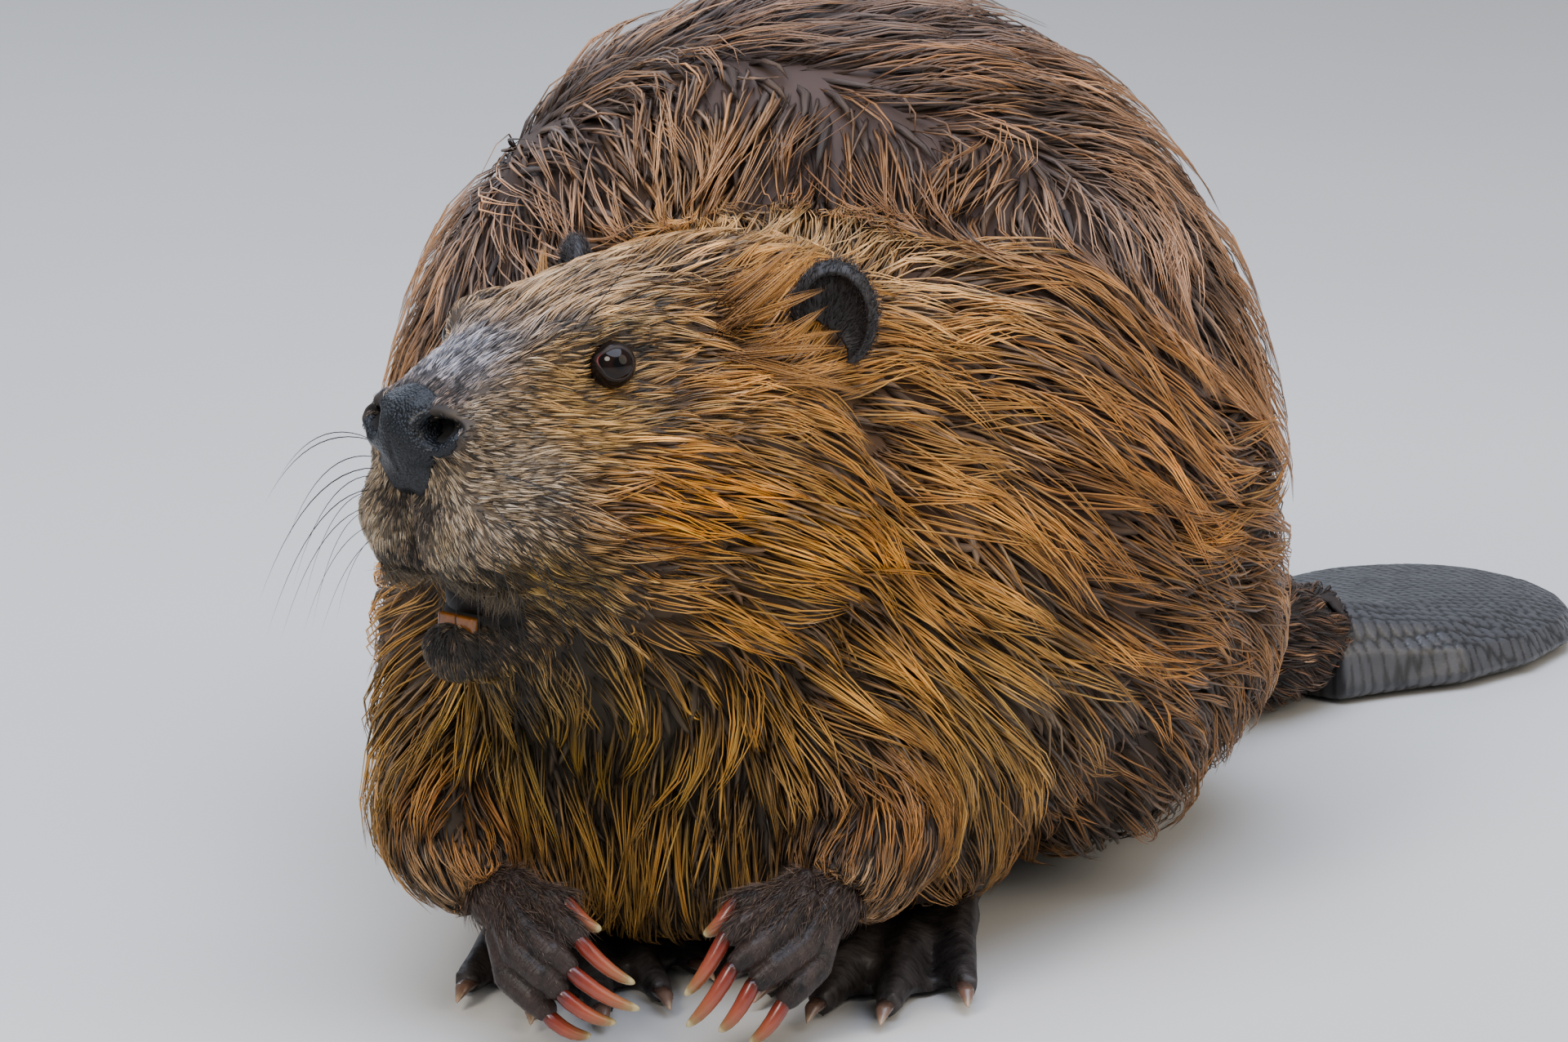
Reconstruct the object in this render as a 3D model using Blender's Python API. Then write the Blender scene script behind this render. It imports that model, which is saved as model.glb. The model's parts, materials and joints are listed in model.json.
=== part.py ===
"""A life-size sitting beaver, hunched on its hind feet with both hands held in front of its chest.

Metres, +Z up. The animal faces -Y, its own left side is +X, and the floor is z = 0. Sizes below are
in millimetres and include the coat out to its tips.
"""

import math

import bmesh
import bpy
from mathutils import Matrix, Vector

MM = 0.001
SIDES = ("left", "right")

# ---- driving sizes, millimetres -------------------------------------------------------------
GAP = 0.3  # clearance kept between touching pieces
CLAW_GAP = 0.6  # wider at the claws, whose seats have sharp creases
CHEST_MIDLINE = -35.0  # x of the plane that the arms and hands mirror in
NOSE_TIP = (-113.0, -25.0, 189.0)
HEAD_TURN = 42.0  # degrees that the head is turned to the animal's right

EYE_PLACE = (29.5, 62.0, 13.5)  # in the head's frame: left, back, up from the nose tip
EYE_RADIUS = 7.0
EAR_PLACES = {"left": (51.0, 134.0, 20.0), "right": (-54.0, 132.0, 15.0)}
EAR_HALF = (13.5, 17.0)
EAR_DEPTH = 6.0
EAR_WALL = 3.2

BODY_VOXEL = 4.0
BODY_SMOOTHING = 6
BODY_KEEP = 0.021  # share of the blended body's triangles that the solids keep
HEAD_KEEP = 0.047
HAND_VOXEL = 1.4
HAND_KEEP = 0.041
FOOT_VOXEL = 2.4
FOOT_KEEP = 0.0245
PAW_SMOOTHING = 3

WRIST = (9.5, 0.0, 41.0)  # the left one, the right one mirrors it

HEAD = (
    Matrix.Translation(Vector(NOSE_TIP))
    @ Matrix.Rotation(math.radians(-HEAD_TURN), 4, "Z")
)


# ---- helpers --------------------------------------------------------------------------------
def clear_scene():
    for obj in list(bpy.data.objects):
        bpy.data.objects.remove(obj)


def mirrored(point):
    """The point on the other side of the chest's midline."""
    return Vector((2 * CHEST_MIDLINE - point[0], point[1], point[2]))


def head_point(left, back, up):
    return HEAD @ Vector((left, back, up))


def add_blob(bm, centre, radii, turn=None):
    """An ellipsoid. turn is a rotation matrix for its axes."""
    turn = turn or Matrix.Identity(4)
    sizes = Matrix.Diagonal((*radii, 1.0))
    place = Matrix.Translation(Vector(centre)) @ turn @ sizes
    bmesh.ops.create_uvsphere(bm, u_segments=24, v_segments=16, radius=1.0, matrix=place)


def eased(stations, steps):
    """Catmull-Rom values through stations, each a tuple of Vectors and numbers, steps per span."""
    def at(i):
        return stations[max(0, min(len(stations) - 1, i))]

    out = []
    for i in range(len(stations) - 1):
        for k in range(steps + (i == len(stations) - 2)):
            t = k / steps
            row = []
            for a, b, c, d in zip(at(i - 1), at(i), at(i + 1), at(i + 2)):
                row.append(
                    0.5 * ((2 * b) + (c - a) * t + (2 * a - 5 * b + 4 * c - d) * t * t
                           + (3 * b - a - 3 * c + d) * t ** 3)
                )
            out.append(row)
    return out


def skin_rings(bm, rings):
    """Faces between rings of points, with both ends closed. The rings run round counterclockwise
    about the direction in which they follow each other."""
    loops = [[bm.verts.new(p) for p in ring] for ring in rings]
    count = len(loops[0])
    for first, second in zip(loops, loops[1:]):
        for i in range(count):
            j = (i + 1) % count
            bm.faces.new((first[i], first[j], second[j], second[i]))
    bm.faces.new(reversed(loops[0]))
    bm.faces.new(loops[-1])


def add_limb(bm, stations, sides=18, steps=4, up=(0, 0, 1)):
    """A tube through stations of (centre, side radius, up radius), with rounded ends."""
    rows = eased([(Vector(c), float(s), float(u)) for c, s, u in stations], steps)
    rings = []
    for i, (centre, side_radius, up_radius) in enumerate(rows):
        ahead = rows[min(i + 1, len(rows) - 1)][0] - rows[max(i - 1, 0)][0]
        ahead.normalize()
        side = Vector(up).cross(ahead).normalized()
        over = ahead.cross(side)
        for lean, shrink in end_rounding(i, len(rows)):
            middle = centre + ahead * lean * min(side_radius, up_radius)
            rings.append([
                middle + side * (side_radius * shrink * math.cos(a))
                + over * (up_radius * shrink * math.sin(a))
                for a in (2 * math.pi * k / sides for k in range(sides))
            ])
    skin_rings(bm, rings)


def end_rounding(i, count):
    """(lean, shrink) of the rings that round off the first and last station of a tube."""
    steps = [math.radians(a) for a in (75, 50, 25)]
    if i == 0:
        return [(-math.sin(a), math.cos(a)) for a in steps] + [(0, 1)]
    if i == count - 1:
        return [(0, 1)] + [(math.sin(a), math.cos(a)) for a in reversed(steps)]
    return [(0, 1)]


def finished(bm, name):
    """A mesh object in metres from a bmesh in millimetres, facing out."""
    bmesh.ops.recalc_face_normals(bm, faces=bm.faces)
    bmesh.ops.scale(bm, vec=(MM, MM, MM), verts=bm.verts)
    return plain_object(bm, name)


def plain_object(bm, name):
    mesh = bpy.data.meshes.new(name)
    bm.to_mesh(mesh)
    bm.free()
    obj = bpy.data.objects.new(name, mesh)
    bpy.context.scene.collection.objects.link(obj)
    return obj


def applied(obj):
    """The object with its modifiers baked into a new mesh."""
    graph = bpy.context.evaluated_depsgraph_get()
    graph.update()
    mesh = bpy.data.meshes.new_from_object(obj.evaluated_get(graph))
    obj.modifiers.clear()
    obj.data = mesh
    return obj


def fused(obj, voxel, smoothing, keep):
    """Overlapping closed shapes made one skin, with soft creases and fewer triangles."""
    remesh = obj.modifiers.new("fuse", "REMESH")
    remesh.mode = "VOXEL"
    remesh.voxel_size = voxel * MM
    smooth = obj.modifiers.new("soften", "SMOOTH")
    smooth.factor = 0.5
    smooth.iterations = smoothing
    thin = obj.modifiers.new("thin", "DECIMATE")
    thin.ratio = keep
    applied(obj)
    return largest_body(obj)


def boolean(obj, other, operation):
    modifier = obj.modifiers.new(operation, "BOOLEAN")
    modifier.operation = operation
    modifier.object = other
    applied(obj)
    return obj


def largest_body(obj):
    """Drops every loose scrap but the body with the most faces."""
    bm = bmesh.new()
    bm.from_mesh(obj.data)
    left = set(bm.faces)
    bodies = []
    while left:
        todo = [left.pop()]
        body = list(todo)
        while todo:
            for edge in todo.pop().edges:
                for face in edge.link_faces:
                    if face in left:
                        left.remove(face)
                        todo.append(face)
                        body.append(face)
        bodies.append(body)
    bodies.sort(key=len)
    scraps = [face for body in bodies[:-1] for face in body]
    bmesh.ops.delete(bm, geom=scraps, context="FACES")
    bmesh.ops.delete(bm, geom=[v for v in bm.verts if not v.link_faces], context="VERTS")
    bm.to_mesh(obj.data)
    bm.free()
    return obj


def copy_of(obj, name):
    new = obj.copy()
    new.data = obj.data.copy()
    new.name = name
    bpy.context.scene.collection.objects.link(new)
    return new


def grown(obj, distance=GAP):
    """A copy of obj whose surface stands distance further out."""
    new = copy_of(obj, obj.name + "_grown")
    swell = new.modifiers.new("swell", "DISPLACE")
    swell.strength = distance * MM
    swell.mid_level = 0.0
    return applied(new)


def box_cutter(low, high, place=None, extra=0.0):
    """A box in millimetres between two corners of the frame that place gives."""
    bm = bmesh.new()
    bmesh.ops.create_cube(bm, size=1.0)
    sizes = [h - l + 2 * extra for l, h in zip(low, high)]
    middle = [(l + h) / 2 for l, h in zip(low, high)]
    bm.transform((place or Matrix.Identity(4)) @ Matrix.Translation(middle)
                 @ Matrix.Diagonal((*sizes, 1.0)))
    return finished(bm, "cutter")


def part_off(core, name, low, high, place=None, finer=None):
    """Takes the stretch of core inside a box as a new piece, and leaves a gap round it. The piece
    can come from a finer mesh of the same shape."""
    piece = copy_of(finer or core, name)
    inside = box_cutter(low, high, place)
    boolean(piece, inside, "INTERSECT")
    outside = box_cutter(low, high, place, extra=GAP)
    boolean(core, outside, "DIFFERENCE")
    for cutter in (inside, outside):
        bpy.data.objects.remove(cutter)
    largest_body(core)
    return largest_body(piece)


def carve(obj, tool, distance=GAP):
    """Cuts tool, grown by distance, out of obj."""
    cutter = grown(tool, distance) if distance else tool
    boolean(obj, cutter, "DIFFERENCE")
    if distance:
        bpy.data.objects.remove(cutter)
    return largest_body(obj)


def cut_flat(obj):
    """Cuts off what lies under the floor, so that the piece stands on a small flat."""
    floor = box_cutter((-400, -400, -200), (600, 900, 0))
    boolean(obj, floor, "DIFFERENCE")
    bpy.data.objects.remove(floor)
    return obj


# ---- the trunk: upright rings along the spine's plan curve ------------------------------------
# (x, y of the spine, reach to its left, reach to its right, top, bottom, height of the widest place)
TRUNK = [
    (-35, 26, 44, 44, 112, 30, 72),
    (-34, 44, 78, 74, 160, 16, 84),
    (-30, 74, 102, 94, 186, 7, 90),
    (-18, 112, 118, 112, 210, 2, 98),
    (0, 160, 136, 137, 254, 0, 106),
    (12, 208, 147, 146, 274, -2, 106),
    (24, 258, 149, 147, 280, -3, 106),
    (44, 306, 136, 136, 266, -3, 100),
    (72, 344, 108, 108, 226, -3, 88),
    (102, 366, 80, 80, 166, -3, 68),
    (134, 374, 56, 58, 106, -3, 44),
    (160, 384, 38, 42, 64, -2, 28),
    (182, 402, 28, 30, 42, -2, 19),
    (196, 420, 24, 25, 34, -2, 16),
]
LEFT_SQUARENESS = 2.1
RIGHT_SQUARENESS = 2.4


def trunk_ring(spot, ahead, left, right, top, bottom, waist, sides):
    side = Vector((0, 0, 1)).cross(ahead)
    ring = []
    for k in range(sides):
        a = 2 * math.pi * k / sides
        c, s = math.cos(a), math.sin(a)
        reach, power = (right, RIGHT_SQUARENESS) if c > 0 else (left, LEFT_SQUARENESS)
        height = (top - waist) if s > 0 else (waist - bottom)
        out = math.copysign(abs(c) ** (2 / power), c) * reach
        up = math.copysign(abs(s) ** (2 / power), s) * height
        ring.append(spot + side * out + Vector((0, 0, waist + up)))
    return ring


def add_trunk(bm, sides=32):
    rows = eased([(Vector((x, y, 0)), *map(float, rest)) for x, y, *rest in TRUNK], 3)
    rings = []
    for i, (spot, *sizes) in enumerate(rows):
        ahead = (rows[min(i + 1, len(rows) - 1)][0] - rows[max(i - 1, 0)][0]).normalized()
        rings.append(trunk_ring(spot, ahead, *sizes, sides))
    skin_rings(bm, rings)


def add_haunches(bm):
    """Thighs, folded forwards beside the belly, and the knees."""
    add_blob(bm, (34, 104, 44), (44, 56, 42))
    add_blob(bm, (-74, 110, 44), (40, 56, 42))
    add_blob(bm, (92, 240, 76), (76, 92, 80))
    add_blob(bm, (92, 176, 50), (50, 58, 46))
    add_blob(bm, (-42, 224, 80), (80, 92, 84))
    add_blob(bm, (-66, 166, 50), (50, 58, 46))


def add_arms(bm):
    """Shoulders, upper arms and forearms of both sides."""
    for side in (Vector, mirrored):
        add_blob(bm, side((28, 86, 104)), (32, 44, 58))
        add_limb(bm, [(side((28, 72, 88)), 31, 31), (side((32, 52, 66)), 27, 27),
                      (side((31, 32, 54)), 22, 22), (side((23, 16, 46)), 17, 17),
                      (side((14, 5, 42)), 12.5, 13)])


def add_neck(bm):
    add_limb(bm, [
        (head_point(0, 108, -20), 56, 54),
        (head_point(0, 145, -26), 72, 60),
        (Vector((0, 124, 146)), 92, 78),
        (Vector((8, 165, 140)), 104, 96),
    ], sides=28)


def add_throat(bm):
    """The long coat that fills in under the jaw and behind the near cheek."""
    add_limb(bm, [(head_point(0, 62, -78), 30, 20), (Vector((-56, 42, 98)), 44, 34),
                  (Vector((-42, 66, 84)), 60, 44)])
    add_blob(bm, (34, 88, 136), (46, 48, 52))


def add_skull(bm):
    """Skull, muzzle, brows and cheeks."""
    turn = HEAD.to_3x3().to_4x4()
    add_limb(bm, [
        (head_point(0, 14, -3), 15, 15),
        (head_point(0, 27, -1), 21, 20),
        (head_point(0, 46, -1), 27, 28),
        (head_point(0, 66, -3), 32, 37),
        (head_point(0, 95, -4), 44, 43),
        (head_point(0, 125, -6), 52, 46),
        (head_point(0, 150, -8), 58, 48),
    ], sides=28)
    for s in (-1, 1):
        add_blob(bm, head_point(s * 13, 14, -3), (10, 10, 11), turn)
        add_blob(bm, head_point(s * 12, 25, -29), (19, 20, 21), turn)
        add_blob(bm, head_point(s * 24, 44, -30), (19, 26, 24), turn)
        add_blob(bm, head_point(s * 19, 64, 22), (14, 20, 9), turn)
        add_blob(bm, head_point(s * 20, 66, -16), (19, 36, 28), turn)
        add_blob(bm, head_point(s * 30, 86, -34), (34, 46, 44), turn)
        add_blob(bm, head_point(s * 35, 118, -36), (40, 46, 50), turn)
        add_blob(bm, head_point(s * 18, 63, 11), (13.5, 18, 13), turn)
        add_blob(bm, head_point(s * 21, 58, -46), (15, 18, 17), turn)
    add_blob(bm, head_point(0, 13, -4), (12, 13, 13), turn)


def add_jaw(bm):
    turn = HEAD.to_3x3().to_4x4()
    add_blob(bm, head_point(0, 41, -66), (19, 17, 12), turn)
    add_limb(bm, [
        (head_point(0, 46, -66), 20, 13),
        (head_point(0, 64, -64), 28, 21),
        (head_point(0, 90, -58), 40, 33),
        (head_point(0, 125, -54), 48, 40),
    ])


def blended_body(keep):
    bm = bmesh.new()
    add_trunk(bm)
    add_haunches(bm)
    add_arms(bm)
    add_neck(bm)
    add_throat(bm)
    add_skull(bm)
    add_jaw(bm)
    return cut_flat(fused(finished(bm, "trunk"), BODY_VOXEL, BODY_SMOOTHING, keep))


# ---- hands ------------------------------------------------------------------------------------
# Places are measured from the wrist along the hand's own three directions: to the animal's left on
# the left hand (mirrored on the right one), up the back of the hand, and out of its back.
HAND_DIRECTIONS = (Vector((1, 0, 0)), Vector((0, 0.225, 0.974)), Vector((0, -0.974, 0.225)))
# digit: (knuckle, claw root, claw tip)
DIGITS = {
    "left": {
        "1": ((-11, 2, 1), (-25, 0, 6), (-33, -8.5, 6)),
        "2": ((-14, -1, 6), (-27.5, -9.5, 12), (-38.5, -26, 11)),
        "3": ((-9.5, -6, 8), (-25.5, -18.5, 14), (-38, -35, 12)),
        "4": ((-3.5, -12, 7), (-19.5, -23.5, 13), (-28.5, -36.5, 11)),
        "5": ((0, -18, 4), (-10.5, -29, 8), (-19.5, -40, 7)),
    },
    "right": {
        "1": ((-6, 2, 1), (-16, 1, 5), (-26, -7, 6)),
        "2": ((-11, -2, 6), (-20.5, -10, 12), (-36, -22.5, 11)),
        "3": ((-5, -8, 8), (-18.5, -19, 14), (-37.5, -30, 12)),
        "4": ((-1, -14, 7), (-16, -26, 13), (-30.5, -34, 11)),
        "5": ((1, -21, 4), (-12, -32.5, 8), (-23, -38, 7)),
    },
}


def on_hand(place, side):
    spot = Vector(WRIST)
    for amount, direction in zip(place, HAND_DIRECTIONS):
        spot = spot + direction * amount
    return mirrored(spot) if side == "right" else spot


def build_hand(side):
    bm = bmesh.new()

    def at(*place):
        return on_hand(place, side)

    add_limb(bm, [(at(5, 1, -8), 11, 10), (at(1, -2, -1), 12, 10), (at(-2, -7, 3), 14, 9.5),
                  (at(-5, -11, 5), 13, 8)])
    for name, (knuckle, root, _) in DIGITS[side].items():
        knuckle, root = Vector(knuckle), Vector(root)
        bend = knuckle.lerp(root, 0.45) + Vector((0, 0, 2.6))
        end = knuckle.lerp(root, 0.72) + Vector((0, 0, 1.2))
        start = knuckle * (0.45 if name != "1" else 0.2)
        add_limb(bm, [(at(*start), 6.0, 5.6), (at(*knuckle), 6.0, 5.6), (at(*bend), 5.2, 5.2),
                      (at(*end), 4.6, 4.6)], sides=12, steps=3)
    return fused(finished(bm, "hand_" + side), HAND_VOXEL, PAW_SMOOTHING, HAND_KEEP)


def build_claw(name, root, tip, wide, thick, bow):
    """A horn claw from its root to its tip, bowed by a small vector in its middle."""
    ahead = (tip - root).normalized()
    side = bow.cross(ahead).normalized()
    over = ahead.cross(side)
    stations = [
        (root - ahead * 5, 0.95), (root, 1.0), (root.lerp(tip, 0.5) + bow, 0.86), (tip, 0.16),
    ]
    rings = []
    for spot, size in stations:
        rings.append([
            spot + side * wide * size * math.cos(a) + over * thick * size * math.sin(a)
            for a in (2 * math.pi * k / 7 for k in range(7))
        ])
    bm = bmesh.new()
    skin_rings(bm, rings)
    return finished(bm, name)


def build_hand_claws(side):
    claws = []
    bow = Vector((0, -2.0, 1.4))
    for digit, (_, root, tip) in DIGITS[side].items():
        wide = 3.2 if digit == "1" else 3.0
        name = f"claw_hand_{side}_{digit}"
        claws.append(build_claw(name, on_hand(root, side), on_hand(tip, side), wide, 2.5, bow))
    return claws


# ---- hind feet ----------------------------------------------------------------------------------
# (heel, middle of the toe roots)
FEET = {"left": ((56, 172), (34, 96)), "right": ((-72, 172), (-64, 96))}
# toe: (side offset of its root, side offset of its end, forward reach of its end)
TOES = {"1": (-16, -33, 38), "2": (-9, -20, 66), "3": (-1, -1, 80), "4": (8, 19, 76),
        "5": (17, 37, 52)}


def foot_frame(side):
    """Frame on the floor at the toe roots: x to the foot's outer side, y backwards."""
    heel, ball = FEET[side]
    back = Vector((heel[0] - ball[0], heel[1] - ball[1], 0)).normalized()
    outward = Vector((0, 0, 1)).cross(back) * (-1 if side == "left" else 1)
    return Vector((ball[0], ball[1], 0)), back, outward


def on_foot(side, outer, forward, up):
    ball, back, outward = foot_frame(side)
    return ball + outward * outer - back * forward + Vector((0, 0, up))


def build_foot(side):
    bm = bmesh.new()
    sole = [(on_foot(side, 0, -82, 14), 16, 14), (on_foot(side, 0, -50, 13), 19, 14),
            (on_foot(side, 0, -15, 10), 23, 12), (on_foot(side, 0, 10, 7), 24, 8)]
    add_limb(bm, sole)
    for near, far, reach in TOES.values():
        middle = on_foot(side, (near + far) / 2, reach / 2, 8)
        add_limb(bm, [(on_foot(side, near, -12, 9), 8, 8), (middle, 6.5, 7),
                      (on_foot(side, far, reach, 4.5), 4.6, 5)], sides=12)
    toes = list(TOES.values())
    for (near, far, reach), (near2, far2, reach2) in zip(toes, toes[1:]):
        web = [on_foot(side, near, -10, 3), on_foot(side, far, reach * 0.86, 3),
               on_foot(side, (far + far2) / 2, min(reach, reach2) * 0.74, 3),
               on_foot(side, far2, reach2 * 0.86, 3), on_foot(side, near2, -10, 3)]
        add_web(bm, web)
    foot = fused(finished(bm, "hind_foot_" + side), FOOT_VOXEL, PAW_SMOOTHING, FOOT_KEEP)
    return cut_flat(foot)


def add_web(bm, outline, thickness=4.4):
    """A level plate with the outline given."""
    up = Vector((0, 0, thickness / 2))
    over = [bm.verts.new(p + up) for p in outline]
    under = [bm.verts.new(p - up) for p in outline]
    bm.faces.new(over)
    bm.faces.new(reversed(under))
    for i in range(len(outline)):
        j = (i + 1) % len(outline)
        bm.faces.new((over[j], over[i], under[i], under[j]))


def build_foot_claws(side):
    claws = []
    for toe, (near, far, reach) in TOES.items():
        lean = (far - near) / reach
        root = on_foot(side, far, reach + 3, 5.0)
        tip = on_foot(side, far + lean * 11, reach + 15, 2.6)
        name = f"claw_foot_{side}_{toe}"
        claws.append(build_claw(name, root, tip, 3.0, 2.2, Vector((0, 0, 1.6))))
    return claws


# ---- tail -----------------------------------------------------------------------------------------
TAIL_ROOT = (182.0, 402.0)
# (x, y, half width, height over the floor)
TAIL = [
    (182, 402, 24, 36), (194, 416, 31, 33), (208, 434, 46, 28), (219, 456, 58, 24),
    (227, 481, 65, 21), (233, 506, 64, 18), (238, 531, 57, 14), (242, 553, 45, 11),
    (245, 570, 29, 8), (246, 579, 12, 6),
]


def tail_heading(i):
    ahead = Vector(TAIL[min(i + 1, len(TAIL) - 1)][:2]) - Vector(TAIL[max(i - 1, 0)][:2])
    return Vector((ahead.x, ahead.y, 0)).normalized()


def build_tail(sides=14):
    """The flat blade: underside level on the floor, top slightly domed, edges a few millimetres."""
    rings = []
    for i, (x, y, half, height) in enumerate(TAIL):
        ahead = tail_heading(i)
        side = Vector((0, 0, 1)).cross(ahead)
        edge = min(4.5, height * 0.45)
        ring = []
        for k in range(sides):
            a = 2 * math.pi * k / sides
            out = math.copysign(abs(math.cos(a)) ** 0.8, math.cos(a)) * half
            if math.sin(a) > 1e-9:
                up = edge + (height - edge) * math.sin(a)
            else:
                up = edge * (1 - abs(math.sin(a)) ** 0.5)
            ring.append(Vector((x, y, 0)) + side * out + Vector((0, 0, up)))
        rings.append(ring)
    bm = bmesh.new()
    skin_rings(bm, rings)
    return finished(bm, "tail")


def tail_root_frame(offset):
    """Frame whose z points down the tail, at its root."""
    ahead = tail_heading(0)
    spot = Vector((*TAIL_ROOT, 0)) + ahead * offset
    return Matrix.Translation(spot) @ ahead.to_track_quat("Z", "Y").to_matrix().to_4x4()


# ---- eyes, ears, teeth ------------------------------------------------------------------------------
def build_eye(side):
    s = 1 if side == "left" else -1
    left, back, up = EYE_PLACE
    bm = bmesh.new()
    bmesh.ops.create_uvsphere(
        bm, u_segments=14, v_segments=8, radius=EYE_RADIUS,
        matrix=Matrix.Translation(head_point(s * left, back, up)),
    )
    return finished(bm, "eye_" + side)


def build_ear(side):
    """A round upright shell, hollow on the side that faces forwards and out."""
    s = 1 if side == "left" else -1
    facing = HEAD.to_3x3() @ Vector((s * 0.62, -0.77, 0.12)).normalized()
    turn = facing.to_track_quat("Z", "Y").to_matrix().to_4x4()
    place = Matrix.Translation(head_point(*EAR_PLACES[side])) @ turn
    bm = bmesh.new()
    bmesh.ops.create_uvsphere(
        bm, u_segments=16, v_segments=10, radius=1.0,
        matrix=place @ Matrix.Diagonal((*EAR_HALF, EAR_DEPTH, 1.0)),
    )
    ear = finished(bm, "ear_" + side)
    bm = bmesh.new()
    bmesh.ops.create_uvsphere(
        bm, u_segments=14, v_segments=10, radius=1.0,
        matrix=place @ Matrix.Translation((0, -1, EAR_WALL)) @ Matrix.Diagonal(
            (EAR_HALF[0] - EAR_WALL, EAR_HALF[1] - EAR_WALL, EAR_DEPTH, 1.0)),
    )
    hollow = finished(bm, "hollow")
    carve(ear, hollow, 0)
    bpy.data.objects.remove(hollow)
    return ear


def build_incisors():
    """The pair of lower front teeth, side by side with a groove between them."""
    # half outline of both teeth seen from above the crown: (left, forward) from the middle
    outline = [(0.0, 1.5), (1.4, 2.4), (6.2, 2.2), (7.8, 0.6), (7.4, -1.8), (0.9, -2.2), (0.0, -1.3)]
    outline += [(-x, y) for x, y in reversed(outline[1:-1])]
    bm = bmesh.new()
    rings = []
    for back, up, thickness in ((35.0, -76, 1.0), (30.5, -67, 1.0), (28.0, -60, 0.8), (27.0, -55.5, 0.35)):
        rings.append([head_point(x, back - y * thickness, up) for x, y in outline])
    skin_rings(bm, rings)
    return finished(bm, "incisors_lower")


# ---- parting the body ------------------------------------------------------------------------------
def split_body(core, fine):
    """Cuts the blended body into named pieces with thin gaps between them."""
    face = HEAD @ Matrix.Translation((0, 125, 40)) @ Matrix.Rotation(math.radians(-26), 4, "X")
    head = part_off(core, "head", (-130, -260, -178), (130, 0, 120), face, finer=fine)
    jaw = part_off(head, "jaw", (-80, -20, -150), (80, 74, -57), HEAD)
    nose = part_off(head, "nose", (-40, -40, -18), (40, 18, 40), HEAD)
    neck = part_off(core, "neck", (-88, 0, -120), (98, 46, 66), face)
    pieces = [head, jaw, nose, neck]
    pieces.append(part_off(core, "forearm_right", (-220, -80, -20), (-58, 34, 100)))
    pieces.append(part_off(core, "forearm_left", (-12, -80, -20), (150, 34, 100)))
    pieces.append(part_off(core, "upper_arm_right", (-220, 34, 22), (-84, 104, 168)))
    pieces.append(part_off(core, "upper_arm_left", (14, 34, 22), (150, 104, 168)))
    pieces.append(part_off(core, "tail_root", (-72, -90, -44), (72, 90, 50), tail_root_frame(0)))
    pieces.append(part_off(core, "thigh_left", (74, 118, -20), (260, 318, 132)))
    pieces.append(part_off(core, "thigh_right", (-260, 112, -20), (-46, 306, 138)))
    pieces.append(part_off(core, "chest", (-260, -60, -20), (260, 150, 400)))
    pieces.append(part_off(core, "rump", (-260, 296, -20), (400, 700, 400)))
    return pieces


# ---- colours --------------------------------------------------------------------------------------
COLOURS = {
    "fur": ((0.149, 0.078, 0.037), 0.75),
    "nose_pad": ((0.022, 0.022, 0.026), 0.45),
    "ear_skin": ((0.025, 0.020, 0.018), 0.7),
    "eyeball": ((0.012, 0.006, 0.004), 0.08),
    "paw_skin": ((0.030, 0.022, 0.020), 0.55),
    "claw_horn": ((0.420, 0.120, 0.065), 0.35),
    "tooth_enamel": ((0.560, 0.190, 0.030), 0.3),
    "tail_scale": ((0.032, 0.035, 0.044), 0.5),
}
SPECIAL = {
    "nose": "nose_pad", "tail": "tail_scale", "incisors": "tooth_enamel", "claw": "claw_horn",
    "hand": "paw_skin", "hind": "paw_skin", "ear": "ear_skin", "eye": "eyeball",
}


def paint(obj):
    """Gives the piece a material of its own."""
    kind = "fur" if obj.name == "tail_root" else SPECIAL.get(obj.name.split("_")[0], "fur")
    colour, roughness = COLOURS[kind]
    material = bpy.data.materials.new(obj.name)
    material.use_nodes = True
    shader = material.node_tree.nodes["Principled BSDF"]
    shader.inputs["Base Color"].default_value = (*colour, 1.0)
    shader.inputs["Roughness"].default_value = roughness
    obj.data.materials.clear()
    obj.data.materials.append(material)


def settle(solids):
    """Moves every piece so that the origin lies under the middle of the whole box."""
    spots = [v.co for solid in solids for v in solid.data.vertices]
    low = [min(p[i] for p in spots) for i in range(3)]
    high = [max(p[i] for p in spots) for i in range(3)]
    shift = Matrix.Translation((-(low[0] + high[0]) / 2, -(low[1] + high[1]) / 2, -low[2]))
    for solid in solids:
        solid.data.transform(shift)
    print("moved by", [round(x / MM, 2) for x in shift.translation])


def triangulate(solid):
    bm = bmesh.new()
    bm.from_mesh(solid.data)
    bmesh.ops.triangulate(bm, faces=bm.faces)
    bm.to_mesh(solid.data)
    bm.free()


def main():
    clear_scene()
    core = blended_body(BODY_KEEP)
    fine = blended_body(HEAD_KEEP)
    eyes = [build_eye(side) for side in SIDES]
    ears = [build_ear(side) for side in SIDES]
    feet = [build_foot(side) for side in SIDES]
    hands = [build_hand(side) for side in SIDES]
    teeth = build_incisors()
    tail = build_tail()
    for solid in (*feet, *hands, tail):
        carve(core, solid)
    for ear in ears:
        carve(ear, core)
    pieces = split_body(core, fine)
    bpy.data.objects.remove(fine)
    head, jaw = pieces[:2]
    for eye in eyes:
        carve(head, eye)
    carve(jaw, teeth)
    claws = []
    for side, hand, foot in zip(SIDES, hands, feet):
        claws += [carve(claw, hand, CLAW_GAP) for claw in build_hand_claws(side)]
        claws += [carve(claw, foot, CLAW_GAP) for claw in build_foot_claws(side)]
    solids = [core, *pieces, *eyes, *ears, *feet, *hands, teeth, tail, *claws]
    for solid in solids:
        triangulate(solid)
        paint(solid)
    settle(solids)
    for solid in solids:
        print(solid.name, len(solid.data.polygons))


main()
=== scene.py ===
import json
import math

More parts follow.
